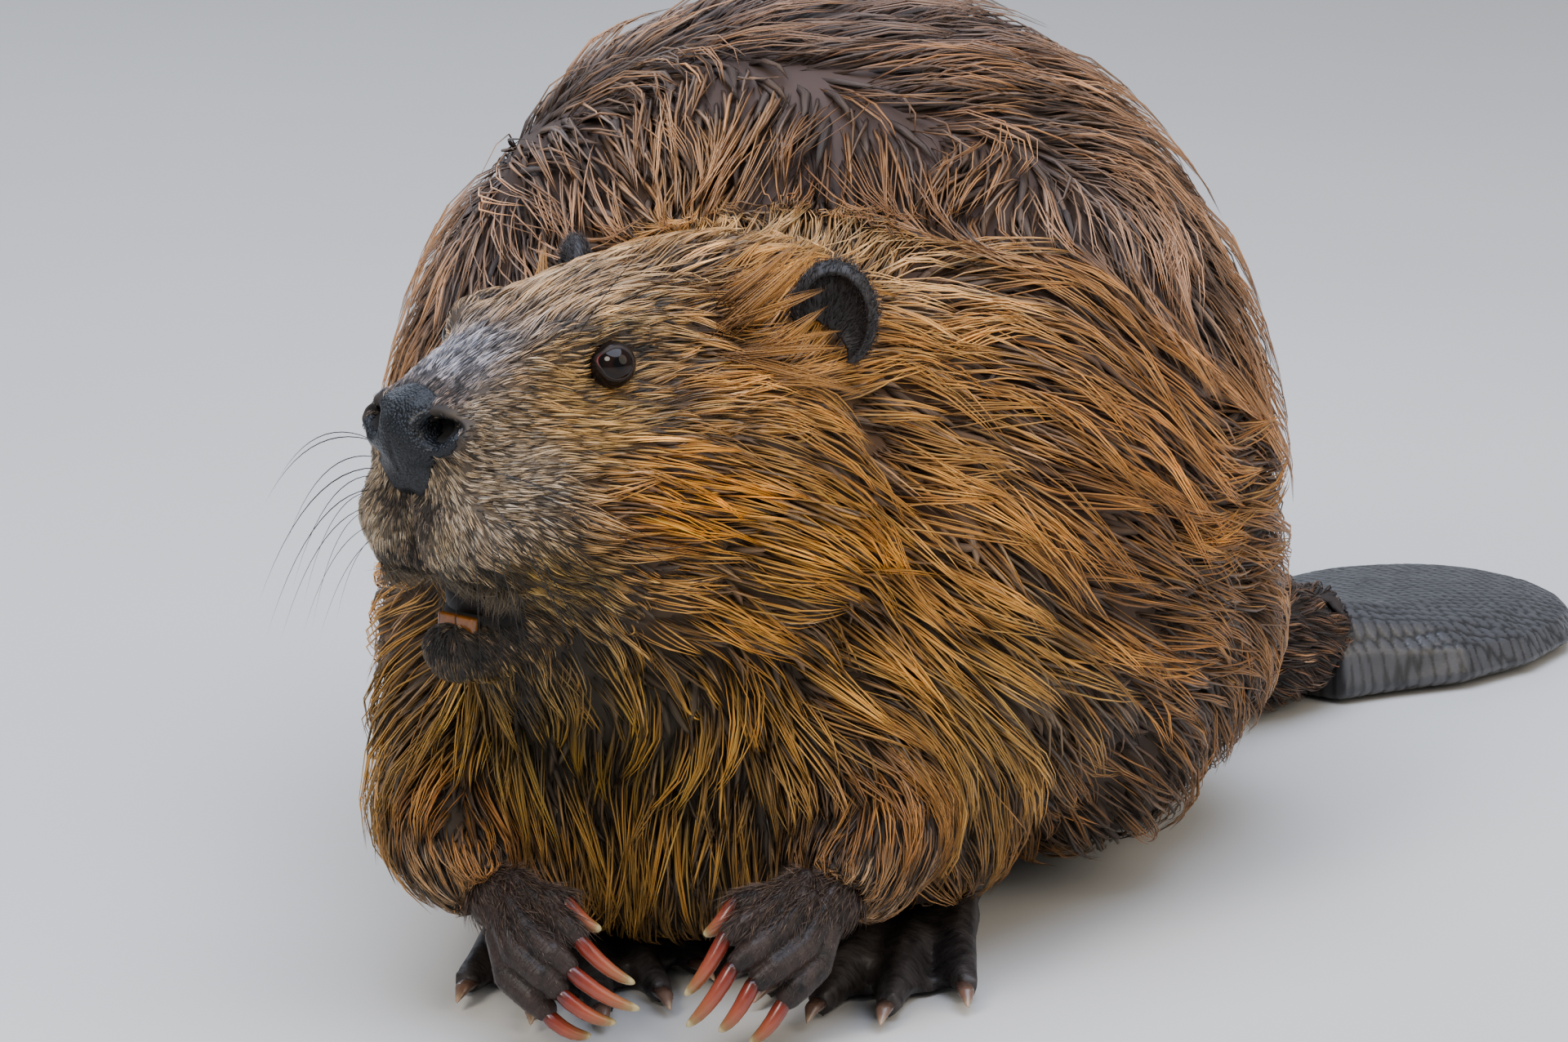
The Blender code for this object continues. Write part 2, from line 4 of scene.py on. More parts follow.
import bmesh
import bpy
import numpy as np
from mathutils import Matrix, Vector
from mathutils.bvhtree import BVHTree
from mathutils.kdtree import KDTree

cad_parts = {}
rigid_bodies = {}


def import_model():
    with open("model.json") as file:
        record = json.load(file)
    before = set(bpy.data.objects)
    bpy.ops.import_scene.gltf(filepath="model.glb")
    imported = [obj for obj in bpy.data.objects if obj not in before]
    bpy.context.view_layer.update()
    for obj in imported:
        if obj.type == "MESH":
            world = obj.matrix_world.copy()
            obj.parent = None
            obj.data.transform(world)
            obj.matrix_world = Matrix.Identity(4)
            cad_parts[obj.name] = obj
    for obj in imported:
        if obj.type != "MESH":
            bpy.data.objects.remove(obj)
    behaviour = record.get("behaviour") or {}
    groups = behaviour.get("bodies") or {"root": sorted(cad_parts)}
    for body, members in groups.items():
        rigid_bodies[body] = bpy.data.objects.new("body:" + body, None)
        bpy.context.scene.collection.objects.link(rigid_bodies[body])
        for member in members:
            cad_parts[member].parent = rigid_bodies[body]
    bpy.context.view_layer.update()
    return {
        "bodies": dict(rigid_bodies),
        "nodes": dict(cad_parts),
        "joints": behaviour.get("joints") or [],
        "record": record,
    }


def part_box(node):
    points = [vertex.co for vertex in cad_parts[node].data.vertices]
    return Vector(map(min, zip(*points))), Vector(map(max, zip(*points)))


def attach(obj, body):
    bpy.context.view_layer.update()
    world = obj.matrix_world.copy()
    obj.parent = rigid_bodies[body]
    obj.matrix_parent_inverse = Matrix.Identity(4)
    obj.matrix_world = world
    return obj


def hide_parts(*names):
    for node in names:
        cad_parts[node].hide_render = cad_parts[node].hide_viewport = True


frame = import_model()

nodes = frame["nodes"]
mm = 0.001
sides = ((1, "left"), (-1, "right"))  # the animal's own
headPlace = Matrix.Translation((-0.19461, -0.29879, 0.189)) @ Matrix.Rotation(math.radians(-42), 4, "Z")
headTurn = np.array(headPlace.to_3x3())
bodyPlace = Matrix.Translation((-0.08161, -0.27379, 0))  # the floor between the forearms


def linearColour(code):
    parts = [int(code[i:i + 2], 16) / 255 for i in (1, 3, 5)]
    return tuple(c / 12.92 if c <= 0.04045 else ((c + 0.055) / 1.055) ** 2.4 for c in parts) + (1.0,)


def addNode(tree, kind, settings=None, links=None):
    # settings: a property or an input by name; links: an input by name from another node's output
    node = tree.nodes.new(kind)
    for name, value in (settings or {}).items():
        if isinstance(name, str) and hasattr(node, name):
            setattr(node, name, value)
        else:
            node.inputs[name].default_value = value
    for name, source in (links or {}).items():
        tree.links.new(source, node.inputs[name])
    return node


def setStops(shade, stops):
    # places and colours of a colour ramp, from low to high
    ramp = shade.color_ramp
    ramp.elements[0].position, ramp.elements[1].position = stops[0][0], stops[-1][0]
    for at, code in stops[1:-1]:
        ramp.elements.new(at)
    for element, (at, code) in zip(ramp.elements, stops):
        element.color = linearColour(code)


def newMaterial(name, settings):
    material = bpy.data.materials.new(name)
    material.use_nodes = True
    tree = material.node_tree
    shader = tree.nodes["Principled BSDF"]
    for key, value in settings.items():
        shader.inputs[key].default_value = value
    return material, tree, shader


def wire(tree, shader, colour, bump=None):
    tree.links.new(colour, shader.inputs["Base Color"])
    if bump:
        tree.links.new(bump.outputs["Normal"], shader.inputs["Normal"])


def cloudedMaterial(name, settings, cloud, low, high, relief=None):
    # two shades in soft clouds; cloud: how many to the metre, and their detail; relief: strength and depth
    material, tree, shader = newMaterial(name, settings)
    place = addNode(tree, "ShaderNodeTexCoord")
    noise = addNode(tree, "ShaderNodeTexNoise", {"Scale": cloud[0], "Detail": cloud[1]},
                    {"Vector": place.outputs["Object"]})
    shade = addNode(tree, "ShaderNodeValToRGB", {}, {"Fac": noise.outputs["Fac"]})
    setStops(shade, ((0, low), (1, high)))
    bump = relief and addNode(tree, "ShaderNodeBump", {"Strength": relief[0], "Distance": relief[1]},
                              {"Height": noise.outputs["Fac"]})
    wire(tree, shader, shade.outputs["Color"], bump)
    return material


def meshFrom(bm, name, smooth=True):
    for face in bm.faces:
        face.smooth = smooth
    mesh = bpy.data.meshes.new(name)
    bm.to_mesh(mesh)
    bm.free()
    return mesh


def store(mesh, name, kind, values):
    # one value for each point of the mesh, for its material to read
    field = {"FLOAT": "value", "FLOAT_VECTOR": "vector", "FLOAT_COLOR": "color"}[kind]
    mesh.attributes.new(name, kind, "POINT").data.foreach_set(field, np.asarray(values, np.float32).ravel())


def onHead(left, back, up):
    return headPlace @ (Vector((left, back, up)) * mm)


def onBody(x, y, z):
    return bodyPlace @ (Vector((x, y, z)) * mm)


def headCoordinates(points):
    inverse = np.array(headPlace.inverted())
    return (points @ inverse[:3, :3].T + inverse[:3, 3]) / mm


def unit(vectors):
    return vectors / np.maximum(np.linalg.norm(vectors, axis=-1, keepdims=True), 1e-9)


view = {"lens": 143.44, "sensor": 36, "place": (-0.08161, -2.03789, 0.5638), "tilt": 77, "far": 50}


def addCamera():
    data = bpy.data.cameras.new("camera")
    data.lens = view["lens"]
    data.sensor_width = view["sensor"]
    data.clip_end = view["far"]
    camera = bpy.data.objects.new("camera", data)
    camera.location = view["place"]
    camera.rotation_euler = (math.radians(view["tilt"]), 0, 0)
    bpy.context.scene.collection.objects.link(camera)
    bpy.context.scene.camera = camera


studio = {"floor": 8, "floorPlace": (0, 2, -0.0005), "sky": "#dfe5ee", "skyStrength": 0.45}


def addFloor():
    # matt painted studio floor: a pale grey with hardly any gloss
    material = cloudedMaterial("mattPaintFloor", {"Roughness": 0.85}, (3.0, 3.0), "#cac8c3", "#d4d2cd")
    bm = bmesh.new()
    bmesh.ops.create_grid(bm, x_segments=1, y_segments=1, size=studio["floor"])
    mesh = meshFrom(bm, "floor", False)
    mesh.materials.append(material)
    floor = bpy.data.objects.new("floor", mesh)
    floor.location = studio["floorPlace"]
    bpy.context.scene.collection.objects.link(floor)


lights = {  # place, what it points at, size in metres, power in watts and tint of each round soft box
    "overhead": ((0.0, -0.3, 1.7), (0, -0.05, 0.1), 1.9, 54, "#d9e5ff"),
    "frontLeft": ((-1.3, -1.9, 1.8), (-0.1, -0.15, 0.12), 1.0, 42, "#fff6ea"),
    "right": ((1.7, -1.0, 1.3), (0, -0.1, 0.12), 2.0, 24, "#fff1dc"),
    "behind": ((-0.8, 1.9, 1.4), (0, 0, 0.2), 1.4, 14, "#dfeaff"),
}


def addLights():
    for name, (place, target, size, power, tint) in lights.items():
        data = bpy.data.lights.new(name, "AREA")
        data.shape = "DISK"
        data.size = size
        data.energy = power
        data.color = linearColour(tint)[:3]
        lamp = bpy.data.objects.new(name, data)
        lamp.location = place
        lamp.rotation_euler = (Vector(target) - Vector(place)).to_track_quat("-Z", "Y").to_euler()
        bpy.context.scene.collection.objects.link(lamp)
    world = bpy.data.worlds.new("studio")
    world.use_nodes = True
    sky = world.node_tree.nodes["Background"].inputs
    sky["Color"].default_value = linearColour(studio["sky"])
    sky["Strength"].default_value = studio["skyStrength"]
    bpy.context.scene.world = world


def addPiece(name, mesh, material, replaced=()):
    mesh.materials.append(material)
    piece = bpy.data.objects.new(name, mesh)
    bpy.context.scene.collection.objects.link(piece)
    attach(piece, "root")
    if replaced:
        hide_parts(*replaced)


swell = 0.00025  # metres by which solids that touch are swollen, so that they join up


def mergedCopy(names, grow=0.0):
    # the loose triangles of the solids, joined up
    bm = bmesh.new()
    for name in names:
        bm.from_mesh(nodes[name].data)
    bmesh.ops.remove_doubles(bm, verts=bm.verts, dist=1e-6)
    bm.normal_update()
    for v in bm.verts:
        v.co += v.normal * grow
    return meshFrom(bm, "copy", False)


def remeshed(mesh, voxel, smoothing, strength=0.5):
    holder = bpy.data.objects.new("holder", mesh)
    bpy.context.scene.collection.objects.link(holder)
    remesh = holder.modifiers.new("remesh", "REMESH")
    remesh.mode = "VOXEL"
    remesh.voxel_size = voxel
    if smoothing:
        smooth = holder.modifiers.new("smooth", "SMOOTH")
        smooth.factor = strength
        smooth.iterations = smoothing
    done = bpy.data.meshes.new_from_object(holder.evaluated_get(bpy.context.evaluated_depsgraph_get()))
    bpy.data.objects.remove(holder)
    bpy.data.meshes.remove(mesh)
    for one in done.polygons:
        one.use_smooth = True
    return done


def pointsOf(mesh):
    points = np.zeros((len(mesh.vertices), 3), np.float32)
    mesh.vertices.foreach_get("co", points.ravel())
    return points.astype(float)


def normalsOf(mesh):
    normals = np.zeros((len(mesh.vertices), 3), np.float32)
    mesh.vertex_normals.foreach_get("vector", normals.ravel())
    return normals.astype(float)


def setPoints(mesh, points):
    mesh.vertices.foreach_set("co", points.astype(np.float32).ravel())
    mesh.update()


def keepLargest(mesh):
    # drops the inner shells and crumbs that a remesh leaves
    bm = bmesh.new()
    bm.from_mesh(mesh)
    left = set(bm.verts)
    groups = []
    while left:
        stack = [left.pop()]
        group = []
        while stack:
            v = stack.pop()
            group.append(v)
            for edge in v.link_edges:
                other = edge.other_vert(v)
                if other in left:
                    left.discard(other)
                    stack.append(other)
        groups.append(group)
    groups.sort(key=len)
    for group in groups[:-1]:
        bmesh.ops.delete(bm, geom=group, context="VERTS")
    bm.to_mesh(mesh)
    bm.free()


def treeOf(mesh):
    return BVHTree.FromPolygons([v.co.copy() for v in mesh.vertices],
                                [tuple(p.vertices) for p in mesh.polygons])


def nearestOn(tree, points):
    found = [tree.find_nearest(p) for p in points]
    return np.array([f[0] for f in found]), np.array([f[1] for f in found])


# what the coat is like at named places, in mm on the head and on the floor between the forearms:
# place, depth of the coat, length of its hairs, colour at the root and at the tip
headZones = {
    "eyeRear": ((34, 73, 16), 1.4, 8, "#17100c", "#7a5c3c"),
    "eyeTop": ((31, 61, 24), 1.4, 7.5, "#1a130f", "#84694a"),
    "nostril": ((19, 12, 2), 0.7, 3.6, "#0e0b0a", "#39302c"),
    "padEdge": ((9, 9, 12), 0.7, 3.6, "#15110f", "#65554a"),
    "underPad": ((8, 7, -22), 0.7, 3.5, "#15110f", "#5a4c40"),
    # the bridge's pale blue-grey tips are partly the hair's own grey, partly a painted sheen of the sky on wet
    # hair
    "bridge": ((0, 24, 14), 1.2, 7, "#2c2725", "#ccc8cf"),
    "forehead": ((0, 60, 32), 2.8, 14, "#3f3028", "#e6bc8c"),
    "crown": ((0, 112, 42), 4.5, 20, "#402b1a", "#b2895a"),
    "temple": ((43, 88, 10), 3.5, 18, "#38260f", "#f6b058"),
    "earFront": ((40, 122, 22), 5.0, 19, "#5b3a14", "#f5ad51"),
    "brow": ((31, 66, 27), 1.8, 10, "#33241a", "#f4c888"),
    "underEye": ((32, 48, 3), 1.4, 9, "#452c14", "#ffc878"),
    "muzzleSide": ((24, 18, -13), 1.4, 6.5, "#3a2b20", "#ffe0b8"),
    "lipPad": ((13, 6, -32), 1.3, 5, "#35291f", "#fbe0b8"),
    "muzzleLow": ((20, 12, -30), 1.3, 5.5, "#2f251c", "#ffe2c0"),
    "mouthCorner": ((30, 26, -42), 1.8, 8, "#241a12", "#b08c46"),
    "cheekMid": ((48, 58, -20), 3.6, 18, "#38230e", "#e0942e"),
    "cheekLow": ((56, 84, -55), 6.5, 26, "#2c1e0c", "#eba848"),
    "cheekRear": ((72, 106, -32), 8.0, 32, "#38250e", "#d08f36"),
    "lowerLip": ((0, 22, -67), 0.8, 4.5, "#14100d", "#2c231d"),
    "lowerLipSide": ((9, 26, -68), 0.8, 4.5, "#14100d", "#2f261e"),
    "lowerLipUnder": ((0, 24, -76), 0.9, 5, "#14100d", "#57472f"),
    "philtrumLow": ((0, 10, -41), 1.2, 4, "#120d0a", "#4a3c30"),
    "lipEdge": ((12, 11, -45), 1.0, 5, "#15100c", "#564936"),
    "lipEdgeRear": ((24, 20, -46), 1.2, 6, "#15100c", "#4f412c"),
    "philtrum": ((0, 8, -34), 1.4, 4, "#120d0a", "#5a4838"),
    "philtrumTop": ((0, 7, -26), 1.0, 3.6, "#120d0a", "#51453b"),
    "chin": ((0, 43, -83), 3.5, 10, "#1f1a10", "#816735"),
    "throat": ((18, 72, -92), 6.0, 26, "#201808", "#8e6b24"),
}
bodyZones = {  # the last number says whether it is mirrored to the other side of the spine
    "neck": ((46, 47, 165), 9, 38, "#452c18", "#e6a554", 1),
    "neckRear": ((84, 74, 144), 10, 40, "#48301f", "#a06d34", 1),
    "nape": ((-10, 90, 205), 7, 28, "#442e1b", "#d8aa70", 0),
    "shoulder": ((59, 48, 105), 9, 38, "#362410", "#b68844", 1),
    # the chest's colours are partly its own dark brown, partly painted shade under the head
    "chest": ((-35, 25, 70), 8, 24, "#1d160b", "#946e33", 0),
    "upperArm": ((30, 30, 60), 5, 20, "#2a2013", "#865825", 1),
    "forearm": ((24, 6, 50), 3.0, 13, "#261d14", "#705940", 1),
    "wrist": ((12, -3, 44), 0.8, 12, "#221a15", "#6b5644", 1),
    "flank": ((124, 110, 102), 10, 36, "#443020", "#a57030", 1),
    "flankLow": ((105, 110, 50), 9, 30, "#33261a", "#885d2f", 1),
    "upperFlank": ((110, 114, 171), 10, 38, "#46332a", "#bd8346", 1),
    "backFront": ((24, 149, 249), 10, 42, "#3f2e26", "#94683f", 0),
    "backTop": ((20, 240, 280), 10, 40, "#423430", "#846550", 0),
    "backSide": ((-90, 190, 220), 10, 40, "#3f2f27", "#a47a58", 1),
    "rump": ((90, 360, 180), 10, 34, "#42322a", "#725439", 0),
    "hip": ((130, 300, 90), 9, 30, "#3a2b20", "#7c5836", 1),
    "tailRoot": ((180, 400, 45), 4, 15, "#2c2018", "#6a4a30", 0),
    "belly": ((10, 170, 5), 6, 18, "#2a2015", "#604828", 0),
}
headLays = {  # which way the hairs lie, mirrored to the other side of the head
    "bridge": ((5, 22, 14), (.15, .9, .35)), "forehead": ((0, 60, 32), (.05, .97, .2)),
    "crown": ((0, 115, 42), (0, 1, 0)), "crownSide": ((36, 105, 22), (.15, .98, -.05)),
    "earFront": ((36, 127, 26), (0, .95, .3)), "temple": ((41, 88, 10), (.2, .95, -.18)),
    "brow": ((31, 61, 24), (.2, .97, .1)), "underEye": ((28, 47, 5), (.35, .9, -.2)),
    "cheekFront": ((40, 54, -6), (.45, .87, -.15)), "cheekTop": ((54, 88, -2), (.3, .9, -.3)),
    "cheekBack": ((67, 109, -9), (.3, .84, -.45)), "noseSide": ((24, 18, -15), (.5, .83, -.14)),
    "lipPad": ((18, 7, -26), (.35, .3, -.85)), "lipLow": ((6, 10, -41), (.1, .25, -.95)),
    "mouthCorner": ((31, 22, -38), (.35, .7, -.6)), "cheekMid": ((46, 48, -23), (.5, .86, -.12)),
    "cheekLow": ((62, 72, -30), (.35, .9, -.24)), "jowlFront": ((41, 46, -48), (.4, .85, -.3)),
    "jowl": ((56, 86, -63), (.25, .88, -.35)), "cheekRear": ((72, 106, -44), (.3, .85, -.42)),
    "philtrum": ((0, 8, -34), (0, .2, -.97)), "lowerLip": ((0, 28, -67), (0, .2, -1)),
    "chin": ((0, 43, -83), (0, .45, -.88)), "throat": ((26, 61, -88), (0, .45, -.89)),
}
bodyLays = {  # the last number says the same as above
    "neck": ((46, 47, 165), (.69, .54, -.47), 1), "neckTop": ((47, 80, 198), (.6, .7, -.3), 1),
    "neckRear": ((84, 74, 144), (.73, .45, -.52), 1), "neckLow": ((24, 33, 109), (.6, .25, -.73), 1),
    "throatSide": ((-20, 16, 88), (.3, .2, -.92), 1), "chest": ((-35, 25, 70), (0, .05, -1), 0),
    "chestLow": ((-35, 40, 35), (0, .2, -1), 0), "shoulder": ((59, 48, 105), (.78, .24, -.58), 1),
    "shoulderLow": ((42, 32, 79), (.4, -.2, -.85), 1), "upperArm": ((39, 12, 55), (-.2, -.55, -.8), 1),
    "forearm": ((17, -4, 45), (-.3, -.85, -.4), 1), "elbow": ((72, 73, 44), (.25, .5, -.8), 1),
    "flankLow": ((111, 104, 67), (.4, .7, -.55), 1), "flank": ((124, 110, 102), (.45, .8, -.35), 1),
    "upperFlank": ((110, 114, 171), (.5, .35, -.75), 1), "flankTop": ((75, 112, 207), (.8, .35, -.4), 1),
    "flankEdge": ((147, 160, 124), (.35, .9, -.2), 1), "nape": ((0, 112, 210), (.1, .95, .2), 0),
    "backEdge": ((-109, 199, 204), (.1, -.5, -.8), 0), "backLeftHigh": ((-83, 189, 232), (.5, -.75, -.3), 0),
    "backLeftLow": ((-79, 169, 220), (.5, -.65, -.45), 0), "backMid": ((-28, 178, 257), (.18, -.88, -.44), 0),
    "backNear": ((-8, 149, 244), (-.2, -.8, -.6), 0), "backNear2": ((24, 149, 249), (0, -.8, -.6), 0),
    "backRight": ((68, 144, 237), (-.3, -.85, -.45), 0), "backRightHigh": ((98, 188, 242), (.8, .3, -.4), 0),
    "backRightLow": ((113, 167, 217), (-.3, -.5, -.75), 0), "backCrest": ((48, 172, 258), (.95, .2, 0), 0),
    "backTop": ((10, 215, 272), (1, -.1, .1), 0), "backTopLeft": ((-60, 215, 262), (.85, -.45, .2), 0),
    "backHigh": ((20, 255, 280), (.85, .5, 0), 0), "backRear": ((40, 300, 276), (.35, .93, -.1), 0),
    "backHighLeft": ((-60, 255, 268), (.7, .6, .1), 0),
    "edgeRight": ((143, 193, 189), (.3, .1, -.9), 1), "rumpTop": ((66, 340, 240), (.3, .75, -.55), 0),
    "rumpSide": ((140, 310, 150), (.1, .8, -.6), 1), "rumpBack": ((105, 385, 130), (.4, .45, -.8), 0),
    "hip": ((145, 240, 60), (.1, .8, -.6), 1), "thighLow": ((100, 190, 22), (.3, .2, -.9), 1),
    "tailRoot": ((180, 400, 50), (.45, .85, -.3), 0), "belly": ((10, 170, 4), (0, 1, 0), 0),
}
spine = ((26, 160, 258, 306, 366, 402), (-35, 0, 24, 44, 102, 182))  # y and x of the middle of the back


def zoneTable(headRows, bodyRows):
    # every place on both sides, in metres, with the rest of its row
    rows = []
    for place, *rest in headRows.values():
        rows.append((onHead(*place), rest, 1, "head"))
        if place[0]:
            rows.append((onHead(-place[0], place[1], place[2]), rest, -1, "head"))
    for place, *rest in bodyRows.values():
        rows.append((onBody(*place), rest, 1, "body"))
        if rest[-1]:
            x = 2 * np.interp(place[1], *spine) - place[0]
            rows.append((onBody(x, place[1], place[2]), rest, -1, "body"))
    return rows


class Blend:
    # weighs the rows of a table at points of the skin, by distance and by which way the skin faces
    turn = 0.03  # metres that a quarter turn counts for
    power = -2.5  # how fast a row's weight falls with the distance, squared
    core = 0.15  # share of the reach, squared, within which a row keeps its whole weight

    def __init__(self, rows, tree, reach=0.02):
        places, normals = nearestOn(tree, [row[0] for row in rows])
        self.keys = np.hstack([np.array([row[0] for row in rows]), normals * self.turn])
        self.reach = reach

    def weights(self, points, normals):
        keys = np.hstack([points, normals * self.turn])
        out = np.zeros((len(points), len(self.keys)))
        for i, key in enumerate(self.keys):
            out[:, i] = (((keys - key) ** 2).sum(1) + self.reach ** 2 * self.core) ** self.power
        return out / out.sum(1, keepdims=True)


def layTable(rows):
    # the ways that the rows give, turned with the head where they are on it
    lays = []
    for place, rest, side, where in rows:
        lay = np.array(rest[0], float) * (side, 1, 1)
        lays.append(headTurn @ lay if where == "head" else lay)
    return unit(np.array(lays))


def waves(points, size, seed, count=7):
    # smooth noise of about that size, from -1 to 1
    source = np.random.default_rng(seed)
    ways = unit(source.normal(size=(count, 3))) * (2 * math.pi / size) * source.uniform(0.6, 1.4, (count, 1))
    return np.sin(points @ ways.T + source.uniform(0, 6.28, count)).sum(1) / math.sqrt(count) * 0.8


skin = {  # sizes in metres, but on the head in mm
    "voxel": 0.003, "smoothing": 4, "foldFill": 0.007,
    "fillBack": ((62, 105), (0, 1)), "fillUp": ((-135, -100), (0.35, 1)),  # where the folds are filled
    "snoutVoxel": 0.0012, "snoutBack": ((38, 75), (1, 0)), "snoutUp": ((-92, -80), (0, 1)),
    "mouth": ((0, 28, -54), (26, 20, 9)),
    "nodes": ["head", "jaw", "nose", "neck", "chest", "trunk", "rump", "upper_arm_left", "upper_arm_right",
              "forearm_left", "forearm_right", "thigh_left", "thigh_right", "tail_root"],
}


def foldFill(points):
    x, y, z = headCoordinates(points).T
    return np.interp(y, *skin["fillBack"]) * np.interp(z, *skin["fillUp"]) * skin["foldFill"]


def buildSkin():
    # the folds between head, neck and shoulder are filled first: swollen, joined up, and drawn in again
    outer = remeshed(mergedCopy(skin["nodes"], swell), skin["voxel"], skin["smoothing"])
    keepLargest(outer)
    points = pointsOf(outer)
    setPoints(outer, points + normalsOf(outer) * foldFill(points)[:, None])
    outer = remeshed(outer, skin["voxel"], 2)
    keepLargest(outer)
    rows = zoneTable(headZones, bodyZones)
    points, normals = pointsOf(outer), normalsOf(outer)
    zones = Blend(rows, treeOf(outer))
    depth = zones.weights(points, normals) @ np.array([row[1][0] for row in rows]) * mm
    setPoints(outer, points - normals * (depth + foldFill(points))[:, None])
    inner = remeshed(outer, skin["voxel"], 3)
    keepLargest(inner)
    keepSnout(inner, rows)
    sculptHead(inner)
    return inner


def keepSnout(mesh, rows):
    # the smoothing draws the snout in, so its front goes back to the coat's depth under the solids
    shell = remeshed(mergedCopy(["head", "jaw", "nose"], swell), skin["snoutVoxel"], 2)
    keepLargest(shell)
    points, normals = pointsOf(mesh), normalsOf(mesh)
    depth = Blend(rows, treeOf(shell)).weights(points, normals) @ np.array([row[1][0] for row in rows]) * mm
    near = nearestOn(treeOf(shell), points)[0]
    local = headCoordinates(points)
    share = np.interp(local[:, 1], *skin["snoutBack"]) * np.interp(local[:, 2], *skin["snoutUp"])
    middle, reach = skin["mouth"]
    share *= np.clip((((local - middle) / reach) ** 2).sum(1) - 0.6, 0, 1)  # not at the mouth
    setPoints(mesh, points + (near - normals * depth[:, None] - points) * share[:, None])


sculpting = {  # place, reach and move in mm on the head, mirrored where the place is off the middle
    "nostril": ((12, 5.5, 0), (4.2, 5, 4.0), (-2, 10, 0)),
    "nostrilTail": ((16, 8.5, 1), (3.5, 4.0, 2.4), (-2.5, 4.5, 0)),
    "wingTop": ((14, 9, 7), (6, 6, 3.2), (0.6, -1.0, 1.2)),
    "wingRear": ((20.5, 12, -0.5), (3, 5, 6), (1.8, -1.0, 0)),
    "underWing": ((13, 8, -9), (9, 6, 2.2), (0, 1.8, 0)),
    "underPad": ((0, 5, -20.5), (9, 7, 1.8), (0, 1.8, 0)),
    "padSplit": ((0, 1, -12), (1.2, 6, 8), (0, 0.8, 0)),
    "philtrum": ((0, 7, -34), (2.4, 10, 13), (0, 2.6, 0)),
    "lipLobe": ((9, 6, -36), (6, 8, 9), (0.5, -1.0, 0)),
    "mouthSlot": ((0, 28, -54), (13, 10, 4.0), (0, 10, 1)),
    "upperCorner": ((23, 22, -46), (6, 10, 5), (0.4, -0.5, -3.0)),
    "lowerCorner": ((23, 28, -60), (6, 9, 6), (0.4, -1.5, 3.4)),
    "orbit": ((33, 62, 14), (11, 11, 10), (1.3, -0.5, 0.2)),
}
sculptEdge = (1.3, 1.5)  # how sharply a move dies away at the edge of its reach
lowerLip = {"place": (0, 28, -69), "wide": 12.5, "thick": 8.5, "above": 7.5, "below": 11, "front": 22}  # mm
fineZones = (((32, 46, -86, 20), 2), ((27, 20, -26, 15), 1))  # half width, rear, bottom, top in mm, and cuts


def refine(mesh, inside, cuts):
    bm = bmesh.new()
    bm.from_mesh(mesh)
    picked = inside(headCoordinates(np.array([v.co for v in bm.verts])))
    bm.verts.ensure_lookup_table()
    edges = [e for e in bm.edges if picked[e.verts[0].index] and picked[e.verts[1].index]]
    bmesh.ops.subdivide_edges(bm, edges=edges, cuts=cuts, use_grid_fill=True)
    bmesh.ops.triangulate(bm, faces=[f for f in bm.faces if len(f.verts) > 4])
    picked = inside(headCoordinates(np.array([v.co for v in bm.verts])))
    near = [v for v, one in zip(bm.verts, picked) if one]
    for repeat in range(2):
        bmesh.ops.smooth_vert(bm, verts=near, factor=0.5, use_axis_x=True, use_axis_y=True, use_axis_z=True)
    bm.to_mesh(mesh)
    bm.free()


def sculptHead(mesh):
    for (half, rear, low, high), cuts in fineZones:
        refine(mesh, lambda p: (abs(p[:, 0]) < half) & (p[:, 1] < rear) & (p[:, 2] > low) & (p[:, 2] < high),
               cuts)
    points = pointsOf(mesh)
    local = headCoordinates(points)
    moved = np.zeros_like(local)
    for place, reach, move in sculpting.values():
        for side in ((1, -1) if place[0] else (1,)):
            mirror = np.array((side, 1, 1))
            away = (((local - np.array(place) * mirror) / reach) ** 2).sum(1)
            moved += np.exp(-sculptEdge[0] * away ** sculptEdge[1])[:, None] * (np.array(move) * mirror)
    # the lower lip stands out as one round cushion in front of the incisors
    x, y, z = (local + moved - lowerLip["place"]).T
    bulge = 1 - (x / lowerLip["wide"]) ** 2 - (z / np.where(z > 0, lowerLip["above"], lowerLip["below"])) ** 2
    front = -lowerLip["thick"] * np.sqrt(np.maximum(bulge, 0))
    moved[:, 1] += np.where(y < lowerLip["front"], np.minimum(front - y, 0) * np.clip(bulge * 4, 0, 1), 0)
    setPoints(mesh, points + moved @ headTurn.T * mm)


def sampleRoots(mesh, density, seed):
    # scatters points over a mesh, density(points, normals) to the square mm
    source = np.random.default_rng(seed)
    mesh.calc_loop_triangles()
    corners = np.zeros(len(mesh.loop_triangles) * 3, np.int32)
    mesh.loop_triangles.foreach_get("vertices", corners)
    corners = corners.reshape(-1, 3)
    points, normals = pointsOf(mesh), normalsOf(mesh)
    a, b, c = (points[corners[:, i]] for i in range(3))
    area = np.linalg.norm(np.cross(b - a, c - a), axis=1) / 2 / mm ** 2
    wanted = area * density((a + b + c) / 3, unit(normals[corners].sum(1)))
    count = np.floor(wanted + source.random(len(wanted))).astype(int)
    picked = np.repeat(np.arange(len(corners)), count)
    u, v = np.sqrt(source.random(len(picked))), source.random(len(picked))
    share = np.stack([1 - u, u * (1 - v), u * v], 1)[:, :, None]
    chosen = corners[picked]
    return (points[chosen] * share).sum(1), unit((normals[chosen] * share).sum(1))


def pathAt(paths, t):
    x = np.clip(t, 0, 1) * (paths.shape[1] - 1)
    i = np.minimum(x.astype(int), paths.shape[1] - 2)
    f = (x - i)[..., None]
    rows = np.arange(len(paths))[:, None]
    return paths[rows, i] * (1 - f) + paths[rows, i + 1] * f


